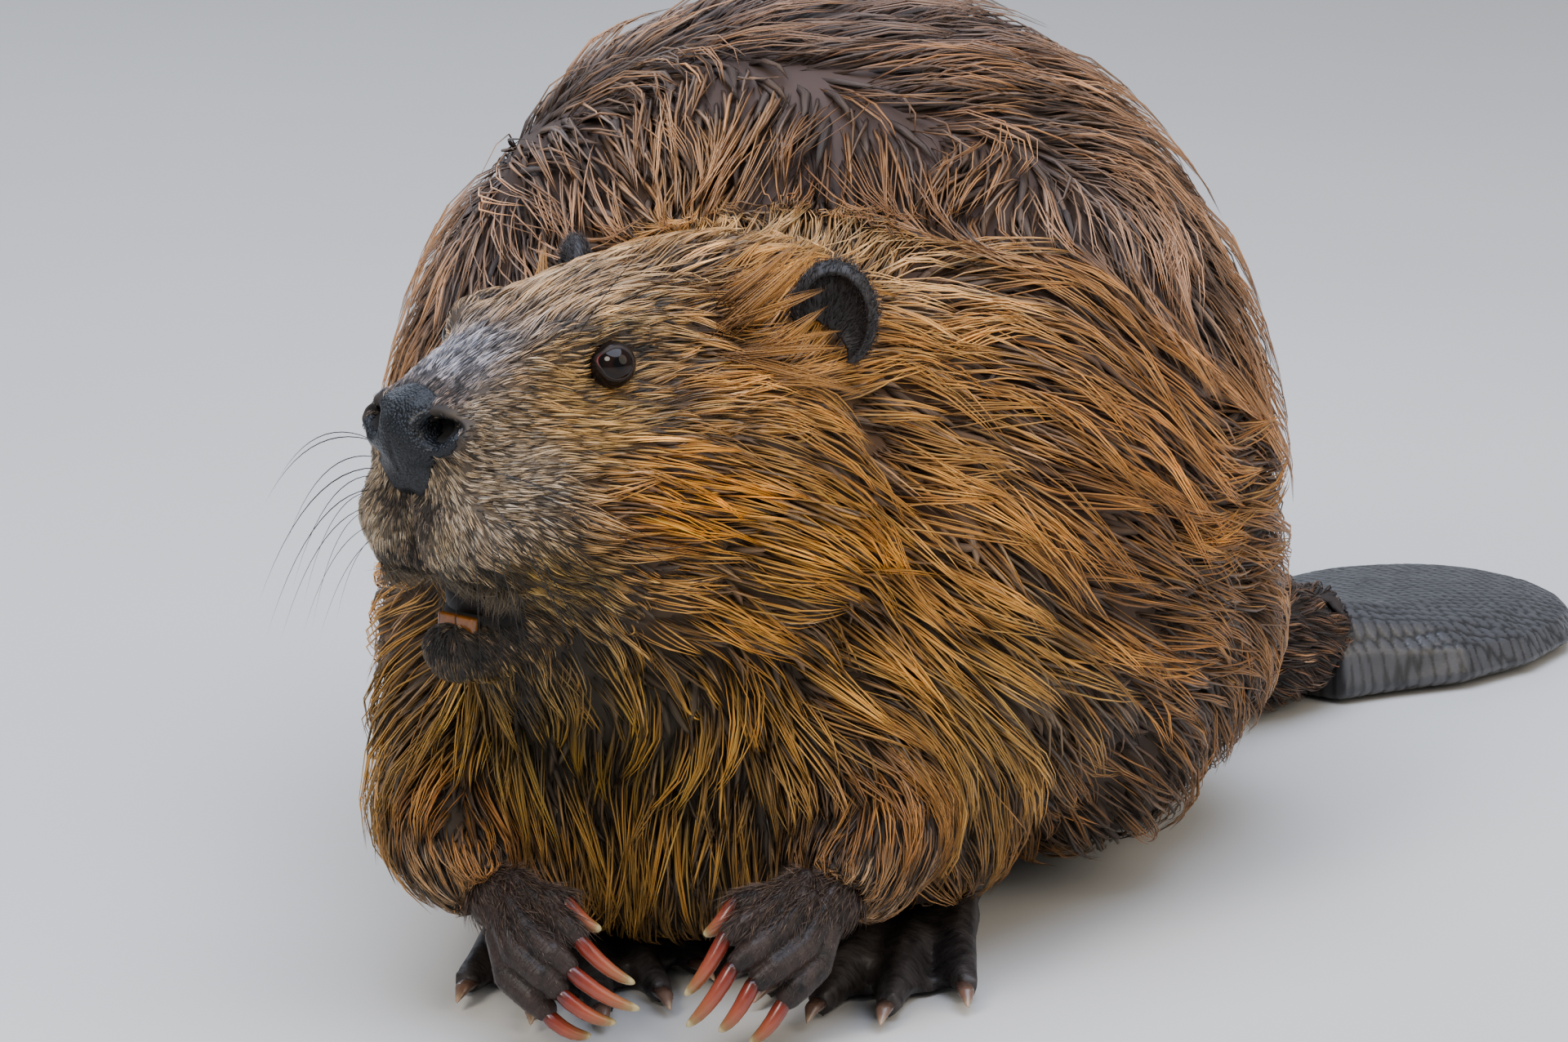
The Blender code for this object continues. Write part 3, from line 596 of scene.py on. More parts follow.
strands = {
    "taper": ((0, 0.25, 0.5, 0.8, 1), (0.75, 1, 0.85, 0.42, 0)),  # thickness from root to tip
    "fade": 0.6,  # where on its way a hair has the colour of its tip
    "patch": (0.0014, 0.0014),  # half the width and length of a hair's patch in OFBake
    "apart": ((977, 7.3), (613, 3.1)),  # mm between hairs on the map of their fibres, in two cycles
}


def strandMesh(name, paths, normals, widths, flat, colours, patches):
    # closed three-sided hairs from arrays: paths (hairs, points, 3), the last point is the tip
    count, steps = paths.shape[0], paths.shape[1] - 1
    t = np.linspace(0, 1, steps + 1)
    taper = np.interp(t, *strands["taper"])
    along = unit(np.concatenate([paths[:, 1:2] - paths[:, :1], paths[:, 2:] - paths[:, :-2]], 1))
    across = unit(np.cross(along, normals[:, None, :]))
    up = np.cross(across, along)
    angle = np.radians([90, 210, 330])
    ring = (across[:, :, None, :] * np.cos(angle)[None, None, :, None]
            + up[:, :, None, :] * (np.sin(angle) * flat)[None, None, :, None])
    ring = paths[:, :-1, None, :] + ring * (widths[:, None] * taper[None, :-1] / 2)[:, :, None, None]
    points = np.concatenate([ring.reshape(count, steps * 3, 3), paths[:, -1:]], 1)
    quads = [(j * 3 + s, j * 3 + 3 + s, j * 3 + 3 + (s + 1) % 3, j * 3 + (s + 1) % 3)
             for j in range(steps - 1) for s in range(3)]
    tip = steps * 3
    last = (steps - 1) * 3
    triangles = [(last + s, tip, last + (s + 1) % 3) for s in range(3)] + [(0, 1, 2)]
    loops = np.array([i for quad in quads for i in quad] + [i for one in triangles for i in one])
    sizes = np.array([4] * len(quads) + [3] * len(triangles))
    stride = steps * 3 + 1
    allLoops = (loops[None, :] + np.arange(count)[:, None] * stride).ravel()
    allSizes = np.tile(sizes, count)
    mesh = bpy.data.meshes.new(name)
    mesh.vertices.add(count * stride)
    mesh.vertices.foreach_set("co", points.astype(np.float32).ravel())
    mesh.loops.add(len(allLoops))
    mesh.loops.foreach_set("vertex_index", allLoops.astype(np.int32))
    mesh.polygons.add(len(allSizes))
    starts = np.concatenate([[0], np.cumsum(allSizes)[:-1]])
    mesh.polygons.foreach_set("loop_start", starts.astype(np.int32))
    mesh.polygons.foreach_set("use_smooth", np.ones(len(allSizes), bool))
    mesh.update(calc_edges=True)
    place = np.concatenate([np.repeat(t[:-1], 3), [1.0]])
    side = np.concatenate([np.tile([-1, 0, 1], steps), [0]])
    root, end = colours
    fade = np.clip(place / strands["fade"], 0, 1)[None, :, None]
    shade = root[:, None, :] * (1 - fade) + end[:, None, :] * fade
    store(mesh, "coatColour", "FLOAT_COLOR", np.concatenate([shade, np.ones((count, stride, 1))], 2))
    patch = np.stack([side * strands["patch"][0], (place - 0.5) * 2 * strands["patch"][1]], 1)[loops]
    spot = (patches[:, None, :] + patch[None]).astype(np.float32)
    mesh.uv_layers.new(name="OFBake").data.foreach_set("uv", spot.ravel())
    # a second map in mm, across the hair and along it, for its fibres
    long = np.linalg.norm(paths[:, 1:] - paths[:, :-1], axis=2).sum(1)
    size = np.stack([widths, long], 1)[:, None, :] / mm
    strand = np.stack([side * 0.75, place], 1)[loops][None] * size  # three sides, each 0.75 of the width
    apart = np.stack([np.arange(count) % cycle * step for cycle, step in strands["apart"]], 1)
    strand = strand + apart[:, None, :]
    mesh.uv_layers.new(name="strand").data.foreach_set("uv", strand.astype(np.float32).ravel())
    return mesh


unwrap = {"angle": 66, "margin": 0.01, "edge": 0.002}  # degrees, and shares of the whole map


def unwrapOf(mesh, voxel=0.011):
    # a coarse copy of the skin, unwrapped; returns a function that gives a point's place in the map
    proxy = remeshed(mesh.copy(), voxel, 2)
    holder = bpy.data.objects.new("unwrap", proxy)
    bpy.context.scene.collection.objects.link(holder)
    bpy.context.view_layer.objects.active = holder
    holder.select_set(True)
    bpy.ops.object.mode_set(mode="EDIT")
    bpy.ops.mesh.select_all(action="SELECT")
    bpy.ops.mesh.quads_convert_to_tris()
    bpy.ops.uv.smart_project(angle_limit=math.radians(unwrap["angle"]), island_margin=unwrap["margin"])
    bpy.ops.object.mode_set(mode="OBJECT")
    corners = np.zeros(len(proxy.loops), np.int32)
    proxy.loops.foreach_get("vertex_index", corners)
    corners = corners.reshape(-1, 3)
    spots = np.zeros(len(proxy.loops) * 2, np.float32)
    proxy.uv_layers.active.data.foreach_get("uv", spots)
    spots = spots.reshape(-1, 3, 2).astype(float)
    places = pointsOf(proxy)
    tree = treeOf(proxy)
    bpy.data.objects.remove(holder)

    def patchOf(points):
        # the map between a triangle's corners, by the areas that the point cuts it into
        found = [tree.find_nearest(p) for p in points]
        face = np.array([f[2] for f in found])
        p = np.array([f[0] for f in found])
        a, b, c = (places[corners[face, i]] for i in range(3))
        whole = np.cross(b - a, c - a)
        size = np.maximum((whole ** 2).sum(1), 1e-18)
        u = (np.cross(c - b, p - b) * whole).sum(1) / size
        v = (np.cross(a - c, p - c) * whole).sum(1) / size
        share = np.clip(np.stack([u, v, 1 - u - v], 1), 0, 1)
        return np.clip((spots[face] * share[:, :, None]).sum(1), unwrap["edge"], 1 - unwrap["edge"])

    return patchOf


coat = {  # in a pair of rows the first is the coat's length in mm
    "lockSpread": ((8, 30), (0.8, 0.85)),  # how much of the skin the wet locks cover, by length in mm
    "hairSpread": ((8, 16, 30), (2.5, 2.1, 0.7)),  # the same for single hairs
    "downSpread": ((5, 14, 30), (0.5, 0.8, 1.2)),  # flat tufts of underfur below them all
    "lockWidth": ((4, 12, 36), (0.4, 0.85, 1.7)),  # mm, by length
    "hairWidth": ((4, 10, 20, 36), (0.22, 0.28, 0.42, 0.62)),
    "downWidth": ((4, 12, 36), (0.9, 1.5, 4.4)),
    "underfur": ((5, 12, 30), (0.08, 0.56, 0.78)),  # share of the hairs that are dull underfur
    "leaders": 0.16,  # the share of locks that their neighbours lean on
    "fans": ((7, 9, 14, 24, 42), (0.0, 0.013, 0.018, 0.012, 0.007)),  # fans of guard hairs to the square mm
    "fanHairs": 6, "fanReach": ((9, 18, 40), (1.6, 2.6, 4.4)),  # mm that they gather from
    "fanLength": ((9, 18, 28, 40), (15, 34, 46, 54)),  # mm, by the coat's length there
    "most": 185000,  # triangles in one piece
    "downSwirl": ((5, 14, 34), (0.08, 0.16, 0.36)), "lockSwirl": ((5, 14, 34), (0.08, 0.16, 0.28)),  # radians
    # the lowest layer is darkest on short coats, as painted shade down among the hairs
    "downShade": ((5, 10, 24), (0.3, 0.4, 0.85)),  # how dark the lowest layer is
    "dull": ((8, 30), (0.3, 0.6)), "dullShare": 0.8,  # how many locks are dull, and how much
    "streak": ((8, 22, 34), (0.95, 0.74, 0.46)),  # how much lighter or darker one lock is than the next
    "short": 9.5,  # mm; shorter hairs have one bend fewer
    "sink": 0.8, "floor": 0.4,  # mm that a root lies under the skin, and a hair over the floor
    # fewer hairs underneath and at the rear; the rows are metres to the rear and shares
    "below": (1.2, 0.5), "behind": ((-0.05, 0.12), (1.0, 0.78)),
    "fansBehind": ((-0.2, -0.1, 0.1), (1.0, 0.6, 0.22)),
}
tint = {
    "rich": 1.05, "warm": 0.07,  # how much stronger the colours are, and how far they vary to red
    "grey": (1.17, 0.97, 0.82), "dull": (0.2, 0.24, 0.25),  # underfur: shares of tip, grey and root
    # underfur and roots darker on short coats: partly their own dark, partly painted shade between the hairs
    "low": ((5, 10, 24), (0.85, 0.6, 1.0)), "root": ((5, 10, 24), (0.6, 0.5, 0.9)),  # by length in mm
    "brightest": 0.85,
}


eyes = {  # mm on the head, and degrees
    "place": (29.5, 62, 13.5), "radius": 7.0, "gaze": (0.85, -0.47, 0.23),
    "halfWide": 41, "halfTall": 38, "corner": 12, "fur": 6.1, "furHeight": 6.4, "furTall": 1.15,
    "bare": (34, 60, 14.5), "bareSize": 6.6, "cornea": (0.05, 0.5),
}


def eyeFrame(side):
    centre = onHead(side * eyes["place"][0], *eyes["place"][1:])
    gaze = headPlace.to_3x3() @ Vector((side * eyes["gaze"][0], *eyes["gaze"][1:]))
    return Matrix.Translation(centre) @ gaze.to_track_quat("Z", "Y").to_matrix().to_4x4()


class Lie:
    # the skin, and what the coat is like all over it
    def __init__(self, mesh):
        self.mesh, self.tree = mesh, treeOf(mesh)
        zoneRows, layRows = zoneTable(headZones, bodyZones), zoneTable(headLays, bodyLays)
        self.zones, self.lays = Blend(zoneRows, self.tree), Blend(layRows, self.tree, 0.012)
        self.ways = layTable(layRows)
        self.depths, self.lengths = (np.array([row[1][i] for row in zoneRows]) for i in (0, 1))
        self.rootColours, self.tipColours = (
            np.array([linearColour(row[1][i])[:3] for row in zoneRows]) for i in (2, 3))

    def comb(self, roots, normals, length, tall, steps, turns, rise):
        # walks each hair over the skin the way the coat lies; tall and rise give its height on the way
        path = [roots - normals * coat["sink"] * mm]
        ground, facing = roots, normals
        for step in range(1, steps + 1):
            way = self.lays.weights(ground, facing) @ self.ways
            way = unit(way - facing * (way * facing).sum(1, keepdims=True))
            turn = turns[:, 0] + turns[:, 1] * step / steps
            way = way * np.cos(turn)[:, None] + np.cross(facing, way) * np.sin(turn)[:, None]
            ground = ground + way * (length * mm / steps)[:, None]
            ground, facing = nearestOn(self.tree, ground)
            high = np.interp(step / steps, *rise)
            path.append(ground + facing * (tall * mm * high)[:, None])
        return np.stack(path, 1)


bare = {  # mm on the head
    "padWide": ((-21, -16, -9, -4, 2, 8, 13), (5, 9, 11.5, 12.5, 11, 9.5, 6)),  # by height
    "padBack": ((-21, -14, -4, 2, 13), (12, 9, 8, 9.5, 14)), "padHigh": (-21, 15),
    "wing": ((13, -2), (6.8, 5.5), 14),  # middle and radii of the leather beside the nostril, and its rear
    "nostril": ((12.5, 11, 0), (4.8, 9, 4.4)),
    "mouth": (14, (26, 60), (-61, -48.5)), "furEdge": 1.6,  # the fur lies this far over the pad's edge
}


def onPad(x, y, z, edge=0.0):
    wide = np.interp(z, *bare["padWide"]) - edge
    back = np.interp(z, *bare["padBack"]) - edge
    low, high = bare["padHigh"]
    front = (abs(x) < wide) & (y < back) & (z > edge + low) & (z < high - edge)
    (out, up), (across, tall), rear = bare["wing"]
    wing = ((abs(x) - out) / (across - edge)) ** 2 + ((z - up) / (tall - edge)) ** 2 < 1
    return (front | wing & (y < rear - edge)) & ~inNostril(x, y, z, 0.6)


def inNostril(x, y, z, size=1.0):
    (out, back, up), reach = bare["nostril"]
    return ((abs(x) - out) / reach[0]) ** 2 + ((z - up) / reach[2]) ** 2 + ((y - back) / reach[1]) ** 2 < size


def inMouth(x, y, z):
    half, (front, rear), (low, high) = bare["mouth"]
    return (abs(x) < half) & (z > low) & (z < high) & (y > front) & (y < rear)


def bareness(points):
    # 1 on the nose pad, in the mouth and at the eyes, 0 where hairs grow
    x, y, z = headCoordinates(points).T
    out, back, up = eyes["bare"]
    eye = (abs(x) - out) ** 2 + (y - back) ** 2 + (z - up) ** 2 < eyes["bareSize"] ** 2
    return (onPad(x, y, z, bare["furEdge"]) | inNostril(x, y, z, 1.2) | inMouth(x, y, z) | eye).astype(float)


def nearestRow(points, others):
    kd = KDTree(len(others))
    for i, p in enumerate(others):
        kd.insert(p, i)
    kd.balance()
    return np.array([kd.find(p)[1] for p in points])


def tinted(lie, weights, seed, spread, bright=1.0, under=None, clump=None):
    # colours at root and tip, each hair a little lighter, darker or redder than the next;
    # clump is a shade that the hairs of one lock share
    source = np.random.default_rng(seed)
    count = len(weights)
    tone = np.exp(source.normal(0, 1, (count, 1)) * spread)
    if clump is not None:
        tone = tone * clump[:, None]
    warm = 1 + source.normal(0, tint["warm"], (count, 1)) * np.array([[1, 0, -1.5]])
    root, tip = weights @ lie.rootColours, weights @ lie.tipColours
    tip = np.maximum(tip.mean(1, keepdims=True) * (1 - tint["rich"]) + tip * tint["rich"], 0.002)
    # underfur is duller and greyer than the guard hairs, and darker on short coats, partly as painted shade
    # under them
    length = weights @ lie.lengths
    grey = tip.mean(1, keepdims=True) * np.array([tint["grey"]])
    ofTip, ofGrey, ofRoot = tint["dull"]
    dull = (tip * ofTip + grey * ofGrey + root * ofRoot) * np.interp(length, *tint["low"])[:, None]
    share = np.zeros((count, 1)) if under is None else np.asarray(under, float)[:, None]
    tip = (tip * bright * (1 - share) + dull * share) * tone * warm
    # roots darker on short coats, partly as painted shade between the hairs
    root = root * np.interp(length, *tint["root"])[:, None] * tone ** 0.5
    return root, tip * np.minimum(1, tint["brightest"] / tip.max(1, keepdims=True))


def spreadOf(lie, width, share):
    # how many to the square mm cover that share of the skin
    def density(points, normals):
        length = lie.zones.weights(points, normals) @ lie.lengths
        below = np.clip(1 + normals[:, 2] * coat["below"][0], coat["below"][1], 1)
        far = np.interp(points[:, 1], *coat["behind"])
        cover = np.interp(length, *coat[share]) * below * far * (1 - bareness(points))
        return cover / (length * np.interp(length, *coat[width]) * 0.62)  # a taper covers 0.62 of its box

    return density


def gathered(paths, roots, leaders, lean, power):
    # each path leans over to the nearest leader's, most at the tip
    follow = leaders[nearestRow(roots, roots[leaders])]
    share = np.linspace(0, 1, paths.shape[1]) ** power
    return paths + (paths[follow] - paths) * share[None, :, None] * lean[:, None, None]


def aroundEyes(paths):
    # hairs part round the lids instead of crossing the eyes
    for side in (1, -1):
        frame = np.array(eyeFrame(side))
        local = (paths - frame[:3, 3]) @ frame[:3, :3] / mm
        far = np.hypot(local[..., 0], local[..., 1] * eyes["furTall"])
        near = (local[..., 2] > 0) & (far < eyes["fur"])
        push = np.where(near, eyes["fur"] / np.maximum(far, 0.5), 1.0)
        local[..., 0] *= push
        local[..., 1] *= push
        local[..., 2] = np.where(near, np.minimum(local[..., 2], eyes["furHeight"]), local[..., 2])
        paths = np.where(near.any(1)[:, None, None], local * mm @ frame[:3, :3].T + frame[:3, 3], paths)
    return paths


down = {
    "long": (0.6, 0.85), "tall": (0.25, 0.6),  # shares of the coat's length and depth
    "rise": ((0, 0.4, 0.8, 1), (0, 0.8, 1, 0.6)),  # height on its way
    "swirl": (0.8, 0.35), "bend": 0.3,  # waves and chance, and radians
    "flat": 0.28, "tone": 0.25,
}


def growDown(lie):
    # flat overlapping tufts of underfur, so that no skin shows between the hairs
    roots, normals = sampleRoots(lie.mesh, spreadOf(lie, "downWidth", "downSpread"), 14)
    source = np.random.default_rng(8)
    weights = lie.zones.weights(roots, normals)
    count = len(roots)
    length = weights @ lie.lengths
    wild = np.interp(length, *coat["downSwirl"])
    wavy, chance = down["swirl"]
    swirl = wild * (waves(roots, 0.05, 21) * wavy + source.normal(0, chance, count))
    turns = np.stack([swirl, source.normal(0, down["bend"], count)], 1)
    tall = weights @ lie.depths * source.uniform(*down["tall"], count)
    reach = length * source.uniform(*down["long"], count)
    paths = lie.comb(roots, normals, reach, tall, 3, turns, down["rise"])
    # the lowest layer darkened, most on short coats: painted shade down among the hairs
    clump = np.interp(length, *coat["downShade"])
    colours = tinted(lie, weights, 34, down["tone"], 1.0, np.ones(count), clump)
    return [("Down", paths, normals, np.interp(length, *coat["downWidth"]), down["flat"], colours, "soft")]


locks = {
    "long": (0.75, 1.2), "tall": (0.5, 0.95),  # shares of the coat's length and depth
    "rise": ((0, 0.25, 0.5, 0.75, 1), (0, 0.55, 0.85, 0.92, 0.8)),
    "swirl": (0.8, 0.5, 0.3), "bend": 0.16,  # long waves, short waves and chance, and radians
    "lean": (0.3, 0.85), "flat": 0.42, "tone": 0.2,  # how far it leans on a neighbour, and its thickness
    "clump": (0.75, 0.6, -0.12),  # how light or dark a lock is: chance, short waves, and on the whole
}
singles = {  # the hairs that follow the locks: shares of a lock's length, and of the depth they lie under it
    "underLong": (0.55, 0.9), "guardLong": (0.8, 1.1),
    "underSink": (0.1, 0.5), "guardSink": (-0.05, 0.2),
    "gather": (0.5, 1.0), "flat": 0.7, "tone": 0.38, "bright": 1.22,
}


def growLocks(lie):
    # locks of wet hair, each leaning on a neighbour, and single hairs that follow them
    roots, normals = sampleRoots(lie.mesh, spreadOf(lie, "lockWidth", "lockSpread"), 11)
    source = np.random.default_rng(5)
    weights = lie.zones.weights(roots, normals)
    size = len(roots)
    length = weights @ lie.lengths * source.uniform(*locks["long"], size)
    depth = weights @ lie.depths
    slow, quick, chance = locks["swirl"]
    swirl = waves(roots, 0.05, 21) * slow + waves(roots, 0.02, 22) * quick + source.normal(0, chance, size)
    swirl = np.interp(length, *coat["lockSwirl"]) * swirl
    bend = source.normal(0, locks["bend"], size) * np.interp(length, [5, 34], [0.3, 1])
    tall = source.uniform(*locks["tall"], size) * depth
    paths = lie.comb(roots, normals, length, tall, 4, np.stack([swirl, bend], 1), locks["rise"])
    leaders = np.flatnonzero(source.random(size) < coat["leaders"])
    lean = source.uniform(*locks["lean"], size) * np.interp(length, [5, 14], [0.3, 1])
    paths = gathered(paths, roots, leaders, lean, 1.4)

    source = np.random.default_rng(9)
    hairRoots, hairNormals = sampleRoots(lie.mesh, spreadOf(lie, "hairWidth", "hairSpread"), 12)
    own = nearestRow(hairRoots, roots)
    count = len(hairRoots)
    under = source.random(count) < np.interp(length[own], *coat["underfur"])
    reach, sink = (np.where(under, source.uniform(*singles["under" + of], count),
                            source.uniform(*singles["guard" + of], count)) for of in ("Long", "Sink"))
    gather = source.uniform(*singles["gather"], count) * np.interp(length[own], [5, 10, 20], [0.3, 0.7, 0.95])
    stray = hairRoots - roots[own]

    def hairPaths(pick, steps):
        t = np.linspace(0, 1, steps + 1)[None, :] * reach[pick][:, None]
        keep = 1 - gather[pick][:, None] * np.clip(t, 0, 1) ** 0.8
        lower = np.clip(t * 3, 0, 1) * (sink[pick] * depth[own[pick]] * mm)[:, None]
        base = pathAt(paths[own[pick]], t) + stray[pick][:, None, :] * keep[:, :, None]
        return base - hairNormals[pick][:, None, :] * lower[:, :, None]

    groups = []
    inHead = headCoordinates(roots)[:, 1] < 100
    dull = (source.random(size) < np.interp(length, *coat["dull"])) * coat["dullShare"]
    # on the face the fur is light over dark, and parts in dark streaks between the locks
    streak = np.interp(weights @ lie.lengths, *coat["streak"])
    chance, wavy, whole = locks["clump"]
    clump = np.exp((source.normal(0, chance, size) + waves(roots, 0.008, 23) * wavy + whole) * streak)
    for label, part in (("Head", inHead), ("Body", ~inHead)):
        pick = np.flatnonzero(part)
        colours = tinted(lie, weights[pick], 31, locks["tone"], 1.0, dull[pick], clump[pick])
        width = np.interp(length[pick], *coat["lockWidth"])
        groups.append(("Locks" + label, paths[pick], normals[pick], width, locks["flat"], colours, "wet"))
        hairs = np.flatnonzero(part[own])
        long = length[own[hairs]] > coat["short"]
        for tag, some in (("Short", hairs[~long]), ("Long", hairs[long])):
            for kind, finish in (("Under", "soft"), ("Guard", "wet")):
                chosen = some[under[some] == (kind == "Under")]
                if not len(chosen):
                    continue
                steps = 3 if (tag, kind) == ("Long", "Guard") else 2
                width = np.interp(length[own[chosen]], *coat["hairWidth"])
                colours = tinted(lie, weights[own[chosen]], 32, singles["tone"], singles["bright"],
                                 under[chosen], clump[own[chosen]])
                groups.append((tag + kind + label, hairPaths(chosen, steps), hairNormals[chosen], width,
                               singles["flat"], colours, finish))
    return groups


fans = {
    "long": (0.75, 1.2), "each": (0.85, 1.02), "tall": (0.9, 1.05),
    "rise": ((0, 0.2, 0.5, 0.8, 1), (0, 0.7, 1.0, 1.04, 0.95)),
    "swirl": (0.24, 0.12, 0.07), "bend": 0.1, "stray": (0.05, 0.06),  # radians
    "gather": ((0, 0.2, 0.52, 0.82, 0.97), (0.75, 1.0)),  # how close the hairs are on their way
    "width": (0.45, 0.9), "flat": 0.7, "tone": 0.1, "clump": 0.28,
    "bright": ((14, 28), (1.9, 1.35)), "thick": ((12, 20, 50), (0.4, 0.6, 1.05)),  # by length in mm
}


def growFans(lie):
    # long wet guard hairs, stuck together at their tips by sixes and sevens
    def density(points, normals):
        length = lie.zones.weights(points, normals) @ lie.lengths
        far = np.interp(points[:, 1], *coat["fansBehind"])
        return np.interp(length, *coat["fans"]) * far * np.clip(1 + normals[:, 2], 0.2, 1)

    places, facing = sampleRoots(lie.mesh, density, 13)
    source = np.random.default_rng(6)
    count, each = len(places), coat["fanHairs"]
    own = np.repeat(np.arange(count), each)
    size = len(own)
    lead = np.arange(size) % each == 0
    coatLength = lie.zones.weights(places, facing) @ lie.lengths
    reach = np.interp(coatLength, *coat["fanReach"]) * mm
    away = source.normal(0, 1, (size, 3)) * reach[own][:, None] * ~lead[:, None]
    away -= facing[own] * (away * facing[own]).sum(1, keepdims=True)
    roots, normals = nearestOn(lie.tree, places[own] + away)
    weights = lie.zones.weights(roots, normals)
    whole = np.interp(coatLength, *coat["fanLength"]) * source.uniform(*fans["long"], count)
    slow, quick, chance = fans["swirl"]
    swirl = slow * waves(places, 0.05, 21) + quick * waves(places, 0.02, 22) + source.normal(0, chance, count)
    bend = source.normal(0, fans["bend"], count)
    turns = np.stack([of[own] + source.normal(0, stray, size)
                      for of, stray in zip((swirl, bend), fans["stray"])], 1)
    tall = weights @ lie.depths * source.uniform(*fans["tall"], size)
    length = whole[own] * source.uniform(*fans["each"], size)
    paths = lie.comb(roots, normals, length, tall, 4, turns, fans["rise"])
    along, chance = fans["gather"]
    share = np.array(along)[None, :] * source.uniform(*chance, size)[:, None]
    paths = paths + (paths[own * each] - paths) * share[:, :, None]
    width = source.uniform(*fans["width"], size) * np.interp(whole[own], *fans["thick"])
    tone = np.exp(source.normal(0, fans["clump"], count))[own][:, None]
    bright = np.interp(coatLength, *fans["bright"])[own][:, None]
    root, tip = tinted(lie, weights, 33, fans["tone"], bright)
    return [("Fans", paths, normals, width, fans["flat"], (root, tip * tone), "wet")]


def growCoat(lie, materials):
    patchOf = unwrapOf(lie.mesh)
    total = 0
    for grow in (growDown, growLocks, growFans):
        for label, paths, normals, width, flat, (root, end), finish in grow(lie):
            paths[:, 1:-1] = paths[:, 1:-1] * 0.5 + (paths[:, :-2] + paths[:, 2:]) * 0.25  # takes out the kinks
            paths = aroundEyes(paths)
            paths[..., 2] = np.maximum(paths[..., 2], coat["floor"] * mm)
            triangles = len(paths) * (6 * (paths.shape[1] - 2) + 4)
            parts = max(1, math.ceil(triangles / coat["most"]))
            total += triangles
            print("coat:", label, len(paths), triangles)
            patches = patchOf(paths[:, 0] + normals * coat["sink"] * mm)
            order = np.argsort(paths[:, 0, 1], kind="stable")
            for number, pick in enumerate(np.array_split(order, parts)):
                name = f"coat{label}{number + 1}"
                made = strandMesh(name, paths[pick], normals[pick], width[pick] * mm, flat,
                                  (root[pick], end[pick]), patches[pick])
                addPiece(name, made, materials[finish])
    print("coat: triangles", total)


def coatMaterial(name, roughness, gloss, contrast):
    # hair keratin: smooth and wet in the guard hairs, which carry sharp pale streaks of the sky,
    # dull and felted in the underfur
    settings = {"Roughness": roughness, "IOR": 1.55, "Specular IOR Level": 0.35, "Coat Weight": gloss,
                "Coat Roughness": 0.25}
    material, tree, shader = newMaterial(name, settings)
    colour = addNode(tree, "ShaderNodeAttribute", {"attribute_name": "coatColour"})
    strand = addNode(tree, "ShaderNodeUVMap", {"uv_map": "strand"})
    # single hairs stuck together show as lines along a lock, about five to the mm
    fibres = addNode(tree, "ShaderNodeMapping", {"Scale": (5.0, 0.08, 1.0)}, {"Vector": strand.outputs["UV"]})
    lines = addNode(tree, "ShaderNodeTexNoise", {"Scale": 1.0, "Detail": 2.0, "noise_dimensions": "2D"},
                    {"Vector": fibres.outputs["Vector"]})
    tone = addNode(tree, "ShaderNodeMapRange",
                   {"From Min": 0.3, "From Max": 0.7, "To Min": 1 - contrast, "To Max": 1 + contrast * 0.8},
                   {"Value": lines.outputs["Fac"]})
    shade = addNode(tree, "ShaderNodeVectorMath", {"operation": "SCALE"},
                    {0: colour.outputs["Color"], "Scale": tone.outputs["Result"]})
    bump = addNode(tree, "ShaderNodeBump", {"Strength": 0.7, "Distance": 0.0003},
                   {"Height": lines.outputs["Fac"]})
    wire(tree, shader, shade.outputs["Vector"], bump)
    return material


def skinMaterial():
    # hide under the coat: matt, dark brown felted underfur, its colours kept dark partly as painted shade
    # between the hairs
    material, tree, shader = newMaterial("feltedUnderfur", {"Roughness": 0.8})
    colour = addNode(tree, "ShaderNodeAttribute", {"attribute_name": "coatColour"})
    wire(tree, shader, colour.outputs["Color"])
    return material


# root and tip: shares of the coat's colours that the skin takes, by length in mm, keeping it dark partly as
# painted shade between the hairs
hide = {"root": ((5, 10, 24), (0.5, 0.55, 0.85)), "tip": ((6, 14), (0.07, 0.03)), "inside": "#0b0808"}


def paintSkin(lie):
    # the skin carries the coat's own markings, as dark as they are at the roots: partly the underfur's own
    # dark, partly painted shade down between the hairs
    mesh = lie.mesh
    weights = lie.zones.weights(pointsOf(mesh), normalsOf(mesh))
    length = weights @ lie.lengths
    ofRoot, ofTip = (np.interp(length, *hide[one])[:, None] for one in ("root", "tip"))
    shade = (weights @ lie.rootColours) * ofRoot + (weights @ lie.tipColours) * ofTip
    x, y, z = headCoordinates(pointsOf(mesh)).T
    # near-black inside the nostrils and the mouth: painted shade in the hollows
    shade[inNostril(x, y, z) | inMouth(x, y, z)] = linearColour(hide["inside"])[:3]
    store(mesh, "coatColour", "FLOAT_COLOR", np.hstack([shade, np.ones((len(shade), 1))]))


